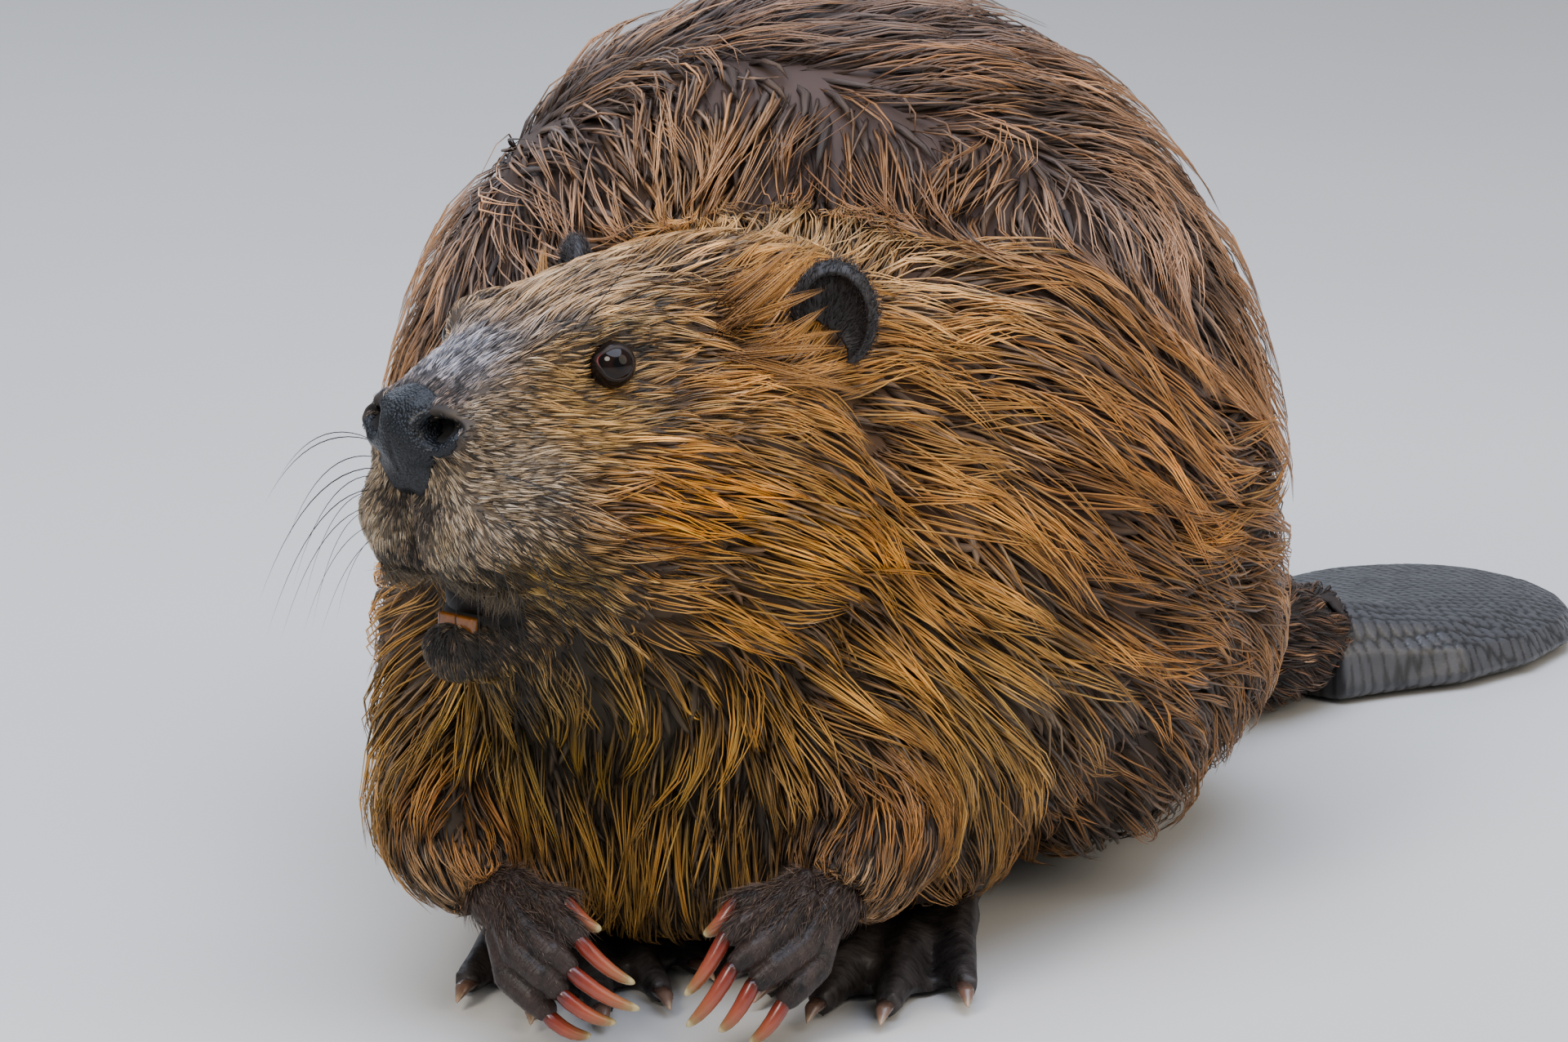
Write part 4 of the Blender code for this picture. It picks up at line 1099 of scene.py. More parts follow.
def eyeMaterial():
    # living eye: a near-black brown iris under a wet, clear cornea that mirrors the light
    settings = {"Roughness": 0.08, "IOR": 1.38, "Specular IOR Level": 0.15, "Coat Weight": 0.3,
                "Coat Roughness": 0.03}
    material, tree, shader = newMaterial("wetCornea", settings)
    ring = addNode(tree, "ShaderNodeAttribute", {"attribute_name": "gaze"})
    place = addNode(tree, "ShaderNodeTexCoord")
    # the iris's fibres, 0.7 mm apart, coarser than real ones so that they show
    fibre = addNode(tree, "ShaderNodeTexNoise", {"Scale": 1400.0, "Detail": 3.0},
                    {"Vector": place.outputs["Object"]})
    wobble = addNode(tree, "ShaderNodeMath", {"operation": "MULTIPLY_ADD", 1: 0.1},
                     {0: fibre.outputs["Fac"], 2: ring.outputs["Fac"]})
    shade = addNode(tree, "ShaderNodeValToRGB", {}, {"Fac": wobble.outputs["Value"]})
    # pupil, iris, its dark rim and the white that hardly shows
    setStops(shade, ((0.22, "#040302"), (0.34, "#1c0d06"), (0.55, "#150a05"), (0.7, "#060404"),
                     (0.95, "#1a1412")))
    wire(tree, shader, shade.outputs["Color"])
    return material


def addEyes():
    material = eyeMaterial()
    high, reach = eyes["cornea"]
    for side, name in sides:
        bm = bmesh.new()
        bmesh.ops.create_uvsphere(bm, u_segments=48, v_segments=32, radius=eyes["radius"] * mm)
        angles = [v.co.angle(Vector((0, 0, 1))) for v in bm.verts]
        for v, angle in zip(bm.verts, angles):
            v.co *= 1 + high * math.exp(-(angle / reach) ** 2)  # the cornea stands a little proud
        bmesh.ops.transform(bm, matrix=eyeFrame(side), verts=bm.verts)
        mesh = meshFrom(bm, "eye")
        store(mesh, "gaze", "FLOAT", np.array(angles, np.float32) / 1.2)
        addPiece("eyeball_" + name, mesh, material, ["eye_" + name])


def lidMaterial():
    # bare eyelid rim: dark, finely wrinkled, damp skin; its paler wet edge is a painted highlight, the upper
    # lid is painted darker as shade, and it is red in the front corner
    material, tree, shader = newMaterial("dampLidSkin", {"Roughness": 0.6, "Specular IOR Level": 0.3})
    edge = addNode(tree, "ShaderNodeAttribute", {"attribute_name": "edge"})
    corner = addNode(tree, "ShaderNodeAttribute", {"attribute_name": "corner"})
    shade = addNode(tree, "ShaderNodeValToRGB", {}, {"Fac": edge.outputs["Fac"]})
    # the pale stop at the wet edge is a painted highlight
    setStops(shade, ((0, "#6a6266"), (0.16, "#352b2a"), (0.3, "#1d1614"), (1, "#2c211b")))
    red = addNode(tree, "ShaderNodeMix", {"data_type": "RGBA", 7: linearColour("#7a2a2a")},
                  {0: corner.outputs["Fac"], 6: shade.outputs["Color"]})
    place = addNode(tree, "ShaderNodeTexCoord")
    # wrinkles 0.7 mm apart
    wrinkle = addNode(tree, "ShaderNodeTexNoise", {"Scale": 1500.0, "Detail": 4.0},
                      {"Vector": place.outputs["Object"]})
    bump = addNode(tree, "ShaderNodeBump", {"Strength": 0.5, "Distance": 0.0003},
                   {"Height": wrinkle.outputs["Fac"]})
    wire(tree, shader, red.outputs[2], bump)
    return material


lids = {  # rings of one lid: degrees outward from the wet edge, and mm from the eye's middle
    "rings": ((0, 6.6), (0, 7.05), (1.5, 7.2), (4, 7.25), (8, 7.1), (13, 6.95), (22, 6.8), (38, 5.8)),
    "segments": 64, "cornerTurn": 0.3, "cornerLong": 14, "cornerRed": 30,  # the last two: how sharp it is
    # on the upper lid the pale edge is narrower and the skin darker: painted shade under the overhanging lid
    "folds": 9, "foldHigh": (0.006, 0.012), "upperLidShade": 0.35,  # the pale edge is narrower on the upper lid
}


def addLids():
    # a ring of skin lying on the eyeball, from the wet edge out to where it goes under the fur
    material = lidMaterial()
    profile = lids["rings"]
    for side, name in sides:
        bm = bmesh.new()
        rings = tubeRings(bm, len(profile), lids["segments"], False)
        level, red = {}, {}
        for number, (ring, (outward, radius)) in enumerate(zip(rings, profile)):
            for v in ring:
                around = math.atan2(v.co.y, v.co.x)
                corner = (math.pi if side > 0 else 0) - side * lids["cornerTurn"]
                front = max(0.0, math.cos(around - corner))  # 1 at the front corner
                over = math.sin(around)  # 1 at the top of the eye
                # the level runs from the painted highlight at the wet edge into the dark skin, sooner on the
                # upper lid as painted shade
                level[v] = min(1.0, number / (len(profile) - 1) + 0.3 * max(0.0, over + lids["upperLidShade"]))
                red[v] = front ** lids["cornerRed"] * (number < 3)
                tip = eyes["corner"] * front ** lids["cornerLong"]
                wide = math.hypot(eyes["halfWide"] * math.cos(around), eyes["halfTall"] * over) + tip
                fine, broad = lids["foldHigh"]
                fold = 1 + fine * math.sin(around * lids["folds"] + number * 1.7)
                fold += broad * max(0.0, over) * (2 < number < 6)
                lean = math.radians(wide + outward)
                v.co = Vector((math.cos(around) * math.sin(lean), over * math.sin(lean), math.cos(lean)))
                v.co *= radius * fold * mm
        bmesh.ops.recalc_face_normals(bm, faces=bm.faces)
        bmesh.ops.transform(bm, matrix=eyeFrame(side), verts=bm.verts)
        edge, corner = ([known[v] for v in bm.verts] for known in (level, red))
        mesh = meshFrom(bm, "lids")
        store(mesh, "edge", "FLOAT", edge)
        store(mesh, "corner", "FLOAT", corner)
        addPiece("lids_" + name, mesh, material)


def noseMaterial():
    # nose leather: wet, black and pebbled, with a blue sheen from the sky
    settings = {"Roughness": 0.4, "Specular IOR Level": 0.25, "Coat Weight": 0.15, "Coat Roughness": 0.22}
    material, tree, shader = newMaterial("pebbledNoseLeather", settings)
    place = addNode(tree, "ShaderNodeTexCoord")
    # pebbles of 0.9 mm on swells of 4 mm
    pebble = addNode(tree, "ShaderNodeTexVoronoi", {"Scale": 1100.0}, {"Vector": place.outputs["Object"]})
    cloud = addNode(tree, "ShaderNodeTexNoise", {"Scale": 260.0, "Detail": 5.0},
                    {"Vector": place.outputs["Object"]})
    shade = addNode(tree, "ShaderNodeValToRGB", {}, {"Fac": cloud.outputs["Fac"]})
    setStops(shade, ((0.3, "#050608"), (0.75, "#141920")))
    bump = addNode(tree, "ShaderNodeBump", {"Strength": 1.0, "Distance": 0.0006, "invert": True},
                   {"Height": pebble.outputs["Distance"]})
    bump = addNode(tree, "ShaderNodeBump", {"Strength": 0.5, "Distance": 0.0008},
                   {"Height": cloud.outputs["Fac"], "Normal": bump.outputs["Normal"]})
    wire(tree, shader, shade.outputs["Color"], bump)
    return material


nosePad = {"edge": 0.05, "proud": 0.45, "pebble": 0.03, "wall": 0.9}  # mm over the skin, and its thickness


def addNosePad(mesh):
    # a thin leather shell cut from the skin where the nose is bare
    bm = bmesh.new()
    bm.from_mesh(mesh)
    inside = onPad(*headCoordinates(np.array([v.co for v in bm.verts])).T)
    bm.verts.ensure_lookup_table()
    outside = [f for f in bm.faces if not all(inside[v.index] for v in f.verts)]
    bmesh.ops.delete(bm, geom=outside, context="FACES")
    bm.normal_update()
    rim = {v for e in bm.edges if e.is_boundary for v in e.verts}
    pebbles = waves(np.array([v.co for v in bm.verts]), 0.0016, 51, 12)
    for v, high in zip(bm.verts, pebbles):
        proud = nosePad["edge"] if v in rim else nosePad["proud"]
        v.co += v.normal * (proud + nosePad["pebble"] * high) * mm
    bmesh.ops.solidify(bm, geom=bm.faces[:], thickness=nosePad["wall"] * mm)
    bmesh.ops.recalc_face_normals(bm, faces=bm.faces)
    addPiece("nose_pad", meshFrom(bm, "nosePad"), noseMaterial())


def pawMaterial(name, dark, pale, creases):
    # bare paw skin: black-brown and leathery, creased across each toe and painted darker down in the creases as
    # shade, damp enough for a cool sheen
    settings = {"Roughness": 0.5, "Specular IOR Level": 0.3, "Coat Weight": 0.08, "Coat Roughness": 0.3}
    material, tree, shader = newMaterial(name, settings)
    place = addNode(tree, "ShaderNodeTexCoord")
    along = addNode(tree, "ShaderNodeAttribute", {"attribute_name": "limb"})
    # the creases run across: about one to each mm along a toe, and three or four mm wide
    across = addNode(tree, "ShaderNodeMapping", {"Scale": creases}, {"Vector": along.outputs["Vector"]})
    crease = addNode(tree, "ShaderNodeTexNoise", {"Scale": 1.0, "Detail": 3.0},
                     {"Vector": across.outputs["Vector"]})
    cloud = addNode(tree, "ShaderNodeTexNoise", {"Scale": 140.0, "Detail": 5.0},
                    {"Vector": place.outputs["Object"]})
    both = addNode(tree, "ShaderNodeMath", {"operation": "MULTIPLY_ADD", 1: 0.55},
                   {0: crease.outputs["Fac"], 2: cloud.outputs["Fac"]})
    # dark where the creases sink under their bump: painted shade in the creases
    shade = addNode(tree, "ShaderNodeValToRGB", {}, {"Fac": both.outputs["Value"]})
    setStops(shade, ((0.55, dark), (0.98, pale)))
    # its grain is 0.8 mm, coarser than the real one so that it shows
    grain = addNode(tree, "ShaderNodeTexNoise", {"Scale": 1300.0, "Detail": 3.0},
                    {"Vector": place.outputs["Object"]})
    bump = addNode(tree, "ShaderNodeBump", {"Strength": 0.8, "Distance": 0.0006},
                   {"Height": crease.outputs["Fac"]})
    bump = addNode(tree, "ShaderNodeBump", {"Strength": 0.4, "Distance": 0.0003},
                   {"Height": grain.outputs["Fac"], "Normal": bump.outputs["Normal"]})
    wire(tree, shader, shade.outputs["Color"], bump)
    return material


hands = {  # mm on a hand: away from the thumb, up the arm, and out from its back
    "palm": (((5, 1, -8), 9.5), ((1, -3, -3.5), 8.2), ((-3, -8, -2), 7.0)),
    "wrist": (-6.75, -9.25, 6.25), "heel": (0.15, 0.68),  # how far the toes' bones close up towards it
    "radii": (4.4, 4.5, 4.9, 4.5, 3.9), "arch": (0.8, 2.4, 0.6), "spacing": (3.0, 1.6),
    "voxel": 0.00055, "creases": (1.1, 0.3, 0.3),
    "hairs": 0.75, "hairSize": (2.6, 0.16), "hairColours": ("#15100e", "#5f5049"),
    "wristHairs": 1.3, "wristSize": (8.5, 0.3), "wristColours": ("#17110e", "#5d4839"),
    "hairWay": (-0.55, -0.8, 0.1),
    "backHairs": ((-30, 0, 8), (0.4, 1, 3)), "wristEdge": ((-9, -2, 5), (0, 0.4, 1)),  # more near the wrist
    # each toe from the thumb on: its knuckle, where its claw comes out, and the claw's tip
    "left": (((-11, 2, 1), (-25, 0, 6), (-33, -8.5, 6)),
             ((-14, -1, 6), (-27.5, -9.5, 12), (-38.5, -26, 11)),
             ((-9.5, -6, 8), (-25.5, -18.5, 14), (-38, -35, 12)),
             ((-3.5, -12, 7), (-19.5, -23.5, 13), (-28.5, -36.5, 11)),
             ((0, -18, 4), (-10.5, -29, 8), (-19.5, -40, 7))),
    "right": (((-6, 2, 1), (-16, 1, 5), (-26, -7, 6)),
              ((-11, -2, 6), (-20.5, -10, 12), (-36, -22.5, 11)),
              ((-5, -8, 8), (-18.5, -19, 14), (-37.5, -30, 12)),
              ((-1, -14, 7), (-16, -26, 13), (-30.5, -34, 11)),
              ((1, -21, 4), (-12, -32.5, 8), (-23, -38, 7))),
}


def handFrame(side):
    # from mm on a hand: it hangs 44.5 mm out from the middle of the chest, with its back to the front
    turn = Matrix(((side, 0, 0, -35 + side * 44.5), (0, 0.225, -0.974, 0), (0, 0.974, 0.225, 41), (0, 0, 0, 1)))
    return bodyPlace @ Matrix.Scale(mm, 4) @ turn


def toePath(knuckle, root):
    # from the wrist over the knuckle to where the claw comes out
    wrist, knuckle, root = (Vector(place) for place in (hands["wrist"], knuckle, root))
    start = wrist * hands["heel"][0] + (knuckle - wrist) * hands["heel"][1]
    low, high, end = (Vector((0, 0, up)) for up in hands["arch"])
    return [start, start.lerp(knuckle, 0.55) + low, knuckle, knuckle.lerp(root, 0.5) + high,
            knuckle.lerp(root, 0.8) + end]


def addBalls(bm, path, radii, spacing):
    # a row of balls close enough to melt into one limb
    for a, b, first, last in zip(path, path[1:], radii, radii[1:]):
        steps = max(1, round((b - a).length / spacing))
        for i in range(steps + 1):
            radius = first + (last - first) * i / steps
            made = bmesh.ops.create_icosphere(bm, subdivisions=2, radius=radius)["verts"]
            bmesh.ops.translate(bm, vec=a.lerp(b, i / steps), verts=made)


def onHand(points, place):
    return (points - np.array(place.translation)) @ np.array(place.inverted())[:3, :3].T


def limbMap(mesh, place, paths):
    # gives each point its place along the nearest toe, in mm, for creases that run across it
    local = onHand(pointsOf(mesh), place)
    points, reach = [], []
    for path in paths:
        run = 0.0
        for a, b in zip(path, path[1:]):
            for t in np.linspace(0, 1, 12, endpoint=False):
                points.append(a.lerp(b, t))
                reach.append(run + (b - a).length * t)
            run += (b - a).length
    near = nearestRow(local, np.array(points))
    store(mesh, "limb", "FLOAT_VECTOR", np.stack([np.array(reach)[near], local[:, 0], local[:, 2]], 1))


def addHands(hair):
    skinOf = pawMaterial("creasedPawSkin", "#0e0a08", "#382a24", hands["creases"])
    palmSpacing, toeSpacing = hands["spacing"]
    for side, name in sides:
        bm = bmesh.new()
        places = [Vector(place) for place, size in hands["palm"]]
        addBalls(bm, places, [size for place, size in hands["palm"]], palmSpacing)
        paths = [toePath(knuckle, root) for knuckle, root, tip in hands[name]]
        for path in paths:
            addBalls(bm, path, hands["radii"], toeSpacing)
        place = handFrame(side)
        bmesh.ops.transform(bm, matrix=place, verts=bm.verts)
        if side < 0:
            bmesh.ops.reverse_faces(bm, faces=bm.faces)
        mesh = remeshed(meshFrom(bm, "hand"), hands["voxel"], 3)
        limbMap(mesh, place, paths)
        addPiece("hand_skin_" + name, mesh, skinOf, ["hand_" + name])
        down = np.array(place.to_3x3() @ Vector(hands["hairWay"]).normalized()) / mm
        back = np.array(place.to_3x3() @ Vector((0, 0, 1))) / mm

        def backOnly(points, normals):
            over = np.clip((normals @ back) * 2, 0, 1)
            return hands["hairs"] * over * np.interp(onHand(points, place)[:, 1], *hands["backHairs"])

        def wristOnly(points, normals):
            return hands["wristHairs"] * np.interp(onHand(points, place)[:, 1], *hands["wristEdge"])

        growShort("hand_hair_" + name, mesh, down, backOnly, hands["hairSize"], hands["hairColours"],
                  hair, 73, 0.12)
        growShort("wrist_hair_" + name, mesh, down, wristOnly, hands["wristSize"], hands["wristColours"],
                  hair, 74, 0.15)


feet = {"voxel": 0.0014, "creases": (0.6, 0.35, 0.35)}


def addFeet():
    skinOf = pawMaterial("webbedFootSkin", "#141110", "#3c3634", feet["creases"])
    for name in ("left", "right"):
        mesh = remeshed(mergedCopy(["hind_foot_" + name]), feet["voxel"], 3)
        low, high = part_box("hind_foot_" + name)
        # the creases run round the heel: distance from it in mm, degrees round it, and height
        x, y, z = ((pointsOf(mesh) - np.array([(low[0] + high[0]) / 2, high[1], 0])) / mm).T
        store(mesh, "limb", "FLOAT_VECTOR", np.stack([np.hypot(x, y), np.degrees(np.arctan2(x, y)), z], 1))
        addPiece("foot_skin_" + name, mesh, skinOf, ["hind_foot_" + name])


def clawMaterial(name, colours):
    # claw horn: smooth, slightly see-through keratin, red over the quick and yellow at the worn tip
    settings = {"Roughness": 0.26, "IOR": 1.54, "Subsurface Weight": 0.1, "Subsurface Scale": 0.0015}
    material, tree, shader = newMaterial(name, settings)
    along = addNode(tree, "ShaderNodeAttribute", {"attribute_name": "along"})
    place = addNode(tree, "ShaderNodeTexCoord")
    # cloudy streaks of 2 mm
    grain = addNode(tree, "ShaderNodeTexNoise", {"Scale": 500.0, "Detail": 3.0},
                    {"Vector": place.outputs["Object"]})
    wobble = addNode(tree, "ShaderNodeMath", {"operation": "MULTIPLY_ADD", 1: 0.16},
                     {0: grain.outputs["Fac"], 2: along.outputs["Fac"]})
    shade = addNode(tree, "ShaderNodeValToRGB", {}, {"Fac": wobble.outputs["Value"]})
    setStops(shade, list(zip((0.1, 0.25, 0.55, 0.82, 0.93, 1.0), colours)))
    bump = addNode(tree, "ShaderNodeBump", {"Strength": 0.15, "Distance": 0.0003},
                   {"Height": grain.outputs["Fac"]})
    wire(tree, shader, shade.outputs["Color"], bump)
    return material


claws = {  # along a claw: share of its length, half its width in mm
    "rings": ((0, 1.9), (0.06, 2.3), (0.2, 2.45), (0.4, 2.3), (0.6, 2.05), (0.76, 1.75), (0.88, 1.35),
              (0.95, 0.95), (0.99, 0.45)),
    "bow": (0, -2.0, 1.4), "tall": 1.1, "belly": 0.8, "hidden": 2.5, "thumb": 1.1, "segments": 16,
    "voxel": 0.0006,
    "hand": ("#2c0f0a", "#74271a", "#934730", "#8f5a36", "#907648", "#bcab7a"),
    "foot": ("#241815", "#3a2a24", "#5a463b", "#6e5446", "#8a735c", "#a58a70"),
}


def tubeRings(bm, count, segments, closed):
    # the rings of a tube, all on the unit circle until they are placed
    made = bmesh.ops.create_circle(bm, segments=segments, radius=1, cap_ends=closed)["verts"]
    rings = [made]
    edges = list({e for v in made for e in v.link_edges})
    inner = edges
    for step in range(count - 1):
        out = bmesh.ops.extrude_edge_only(bm, edges=edges)["geom"]
        ring = {g for g in out if isinstance(g, bmesh.types.BMVert)}
        edges = [g for g in out if isinstance(g, bmesh.types.BMEdge) and all(v in ring for v in g.verts)]
        rings.append(list(ring))
    if closed:
        bmesh.ops.edgeloop_fill(bm, edges=edges)
    else:
        bmesh.ops.bridge_loops(bm, edges=edges + inner)
    return rings


def addClaw(bm, root, tip, size, level):
    # a bowed, tapering horn, round at its end, that starts inside the toe
    root, tip = Vector(root), Vector(tip)
    root = root - (tip - root).normalized() * claws["hidden"]
    bow = Vector(claws["bow"])
    rings = tubeRings(bm, len(claws["rings"]), claws["segments"], True)
    for ring, (share, half) in zip(rings, claws["rings"]):
        place = root.lerp(tip, share) + bow * 4 * share * (1 - share)
        way = (tip - root + bow * 4 * (1 - 2 * share)).normalized()
        across = way.cross(Vector((0, 0, 1))).normalized()
        up = across.cross(way)
        for v in ring:
            level[v] = share
            wide, tall = v.co.x * half * size, v.co.y * half * size
            v.co = place + across * wide + up * tall * (claws["tall"] if tall > 0 else claws["belly"])


def addClaws():
    hand, foot = clawMaterial("salmonClawHorn", claws["hand"]), clawMaterial("darkClawHorn", claws["foot"])
    for side, name in sides:
        bm = bmesh.new()
        level = {}
        for number, (knuckle, root, tip) in enumerate(hands[name]):
            addClaw(bm, root, tip, claws["thumb"] if number == 0 else 1.0, level)
        bmesh.ops.recalc_face_normals(bm, faces=bm.faces)
        bmesh.ops.transform(bm, matrix=handFrame(side), verts=bm.verts)
        if side < 0:
            bmesh.ops.reverse_faces(bm, faces=bm.faces)
        along = [level[v] for v in bm.verts]
        mesh = meshFrom(bm, "claws")
        store(mesh, "along", "FLOAT", along)
        addPiece("claws_hand_" + name, mesh, hand, [f"claw_hand_{name}_{i}" for i in range(1, 6)])
    for name in ("left", "right"):
        names = [f"claw_foot_{name}_{i}" for i in range(1, 6)]
        low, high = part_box("hind_foot_" + name)
        middle = np.array(low + high) / 2
        bm = bmesh.new()
        along = []
        for one in names:
            mesh = remeshed(mergedCopy([one]), claws["voxel"], 3, 0.4)
            points = pointsOf(mesh)
            far = np.linalg.norm(points - middle, axis=1)
            root, tip = points[far.argmin()], points[far.argmax()]
            along.append((points - root) @ (tip - root) / ((tip - root) ** 2).sum())
            bm.from_mesh(mesh)
        mesh = meshFrom(bm, "claws")
        store(mesh, "along", "FLOAT", np.concatenate(along))
        addPiece("claws_foot_" + name, mesh, foot, names)


shortHair = {  # how much one hair differs from the next, and mm that its root lies under the skin
    "stray": 0.22, "long": (0.6, 1.1), "lift": (0.5, 1.3), "tone": 0.35,
    "sink": 0.1, "flat": 0.6, "voxel": 0.003,
}


def growShort(name, mesh, way, density, size, colours, material, seed, lift):
    # short flat hair on a bare part: way is the direction it points in, or a function of the roots,
    # size its length and width in mm, and lift how steeply it stands
    roots, normals = sampleRoots(mesh, density, seed)
    source = np.random.default_rng(seed)
    count = len(roots)
    lie = (way(roots) if callable(way) else way) + source.normal(0, shortHair["stray"], (count, 3))
    lie = unit(lie - normals * (lie * normals).sum(1, keepdims=True))
    long = (size[0] * mm * source.uniform(*shortHair["long"], count))[:, None]
    high = normals * long * lift * source.uniform(*shortHair["lift"], (count, 1))
    paths = np.stack([roots - normals * shortHair["sink"] * mm, roots + lie * long * 0.5 + high * 0.7,
                      roots + lie * long + high], 1)
    tone = np.exp(source.normal(0, shortHair["tone"], (count, 1)))
    root, tip = (np.array(linearColour(code)[:3]) * tone for code in colours)
    patches = unwrapOf(mesh, shortHair["voxel"])(roots)
    width = np.full(count, size[1] * mm)
    made = strandMesh(name, paths, normals, width, shortHair["flat"], (root, tip), patches)
    addPiece(name, made, material)


ears = {  # mm on the head
    "root": (41, 137, 6), "hairs": 1.2, "hairSize": (4.0, 0.22), "hairColours": ("#0b0a0a", "#3a3433"),
    # golden tufts that lie over the front of the ear: root, tip, half width and number of hairs
    "tufts": (((42, 105, 24), (55, 127, 45), 4.0, 26), ((40, 103, 23), (57, 124, 30.5), 2.6, 16),
              ((47.5, 107, 14.5), (58, 123.5, 25.5), 2.0, 12), ((46, 107, 17), (62, 125, 18.6), 2.4, 16),
              ((42.6, 102, 12.4), (64, 125.5, 14), 2.6, 16), ((51, 108.4, 8), (66.5, 126.5, 9), 2.4, 14),
              ((43.7, 108, 28), (53.5, 124, 39), 3.0, 18), ((42, 101, 10.8), (72, 128, 0), 2.6, 16),
              ((36, 110, 31), (46, 126, 44), 3.5, 22), ((48, 104, 4), (66, 124, 3), 2.6, 14)),
    "tuftColours": ("#4a2c12", "#cf9040"), "tuftHairs": 1.4, "tuftWidth": (0.24, 0.46), "arch": 3.0,
    "hidden": 32,  # on the far ear the tufts above this don't grow
    "voxel": 0.0007, "smoothing": 8,
}


def addEars(lie, hair):
    # ear leather: thin, black and cupped, under short dark hairs
    material = cloudedMaterial("darkEarSkin", {"Roughness": 0.55}, (400.0, 4.0), "#0a0808", "#231c1a",
                               (0.4, 0.0005))
    for side, name in sides:
        mesh = remeshed(mergedCopy(["ear_" + name]), ears["voxel"], ears["smoothing"])
        addPiece("ear_skin_" + name, mesh, material, ["ear_" + name])
        base = np.array(onHead(side * ears["root"][0], *ears["root"][1:]))
        growShort("ear_hair_" + name, mesh, lambda p: unit(p - base),
                  lambda p, n: np.full(len(p), ears["hairs"]), ears["hairSize"], ears["hairColours"],
                  hair, 71, 0.2)
    source = np.random.default_rng(72)
    paths, widths, tone = [], [], []
    for side in (1, -1):
        for root, tip, half, count in ears["tufts"]:
            if side < 0 and tip[2] > ears["hidden"]:
                continue
            root, tip = (np.array(onHead(side * p[0], *p[1:])) for p in (root, tip))
            count = int(count * ears["tuftHairs"])
            spread = source.normal(0, half * 0.5 * mm, (count, 3))
            roots = nearestOn(lie.tree, root + spread - (tip - root) * source.uniform(0, 0.3, (count, 1)))[0]
            out = unit(np.array(onHead(side * 60, 112, 20)) - np.array(onHead(0, 112, 0)))
            middle = (roots + tip) / 2 + spread * 0.7 + out * ears["arch"] * mm
            ends = tip + spread * 0.12 + (tip - root) * source.uniform(-0.12, 0.04, (count, 1))
            t = np.linspace(0, 1, 6)[None, :, None]
            bowed = roots[:, None] * (1 - t) ** 2 + middle[:, None] * 2 * t * (1 - t) + ends[:, None] * t * t
            paths.append(bowed)
            widths.append(source.uniform(*ears["tuftWidth"], count))
            tone.append(np.exp(source.normal(0, 0.22, count)) * np.exp(source.normal(0, 0.12)))
    paths, widths, tone = np.concatenate(paths), np.concatenate(widths), np.concatenate(tone)[:, None]
    normals = nearestOn(lie.tree, paths[:, 2])[1]
    root, tip = (np.array(linearColour(code)[:3]) * tone for code in ears["tuftColours"])
    patches = unwrapOf(lie.mesh)(paths[:, 0])
    made = strandMesh("earTufts", paths, normals, widths * mm, 0.6, (root, tip), patches)
    addPiece("ear_tufts", made, hair)


whiskers = {  # mm on the head: root, first way, where it bends to, length; some on both sides
    "far": (((-15, 4, -6), (-.75, -.25, .25), (.08, .1, -.74), 38),
            ((-17, 5, -8), (-.8, -.2, .1), (.08, .1, -.68), 43),
            ((-18, 7, -12), (-.8, -.15, 0), (.08, .15, -.81), 40),
            ((-16, 6, -15), (-.8, -.3, -.05), (.08, .1, -.94), 46),
            ((-19, 9, -17), (-.75, -.1, -.1), (.08, .1, -.94), 37),
            ((-17, 8, -21), (-.7, -.3, -.15), (.08, .1, -1.01), 40),
            ((-20, 10, -23), (-.7, -.05, -.2), (.08, .1, -.94), 32),
            ((-18, 9, -27), (-.65, -.3, -.25), (.08, .1, -.94), 34),
            ((-20, 12, -29), (-.6, -.05, -.3), (.08, .1, -.94), 28),
            ((-19, 11, -33), (-.6, -.3, -.35), (.08, .1, -.81), 27),
            ((-16, 8, -36), (-.5, -.35, -.45), (.08, .1, -.68), 24),
            ((-20, 14, -37), (-.5, -.1, -.5), (.08, .1, -.54), 22)),
    "near": (((26, 17, -10), (.8, .35, -.1), (.1, .5, -.5), 46),
             ((29, 22, -14), (.8, .4, -.25), (.1, .5, -.5), 48),
             ((25, 15, -18), (.7, 0, -.4), (-.1, .2, -.8), 46),
             ((30, 23, -20), (.75, .2, -.45), (-.1, .3, -.7), 48),
             ((24, 14, -23), (.6, -.2, -.5), (-.15, .15, -.8), 44),
             ((28, 20, -24), (.65, 0, -.55), (-.1, .2, -.8), 46),
             ((22, 12, -27), (.45, -.35, -.6), (-.15, .1, -.7), 40),
             ((30, 24, -29), (.65, .05, -.6), (-.1, .2, -.6), 42),
             ((25, 16, -31), (.45, -.3, -.7), (-.15, .1, -.6), 38),
             ((19, 10, -31), (.3, -.4, -.75), (-.1, .1, -.5), 34),
             ((27, 20, -35), (.45, -.15, -.75), (-.1, .1, -.4), 34),
             ((15, 9, -35), (.15, -.4, -.8), (0, .1, -.4), 28)),
    "brow": (((27, 50, 22), (.35, .3, .85), (0, .5, .1), 36), ((29, 54, 22), (.5, .5, .5), (0, .5, -.2), 30),
             ((26, 47, 21), (.3, .1, .8), (0, .4, .1), 20)),
    "cheek": (((40, 56, -12), (.7, .5, -.3), (0, .3, -.4), 30),
              ((42, 60, -14), (.7, .6, -.35), (0, .3, -.4), 26)),
    "width": 0.48, "full": 50, "hidden": 1.5, "colours": ("#1c1512", "#0c0a0a"),
}
lipFringe = {  # mm on the head, and hairs to the square mm
    "up": (-52, -43), "back": (3, 34), "half": 27, "hairs": 1.7, "size": (13, 0.22), "way": (0, -0.12, -1),
    "colours": ("#17110d", "#6f5f45"),
}


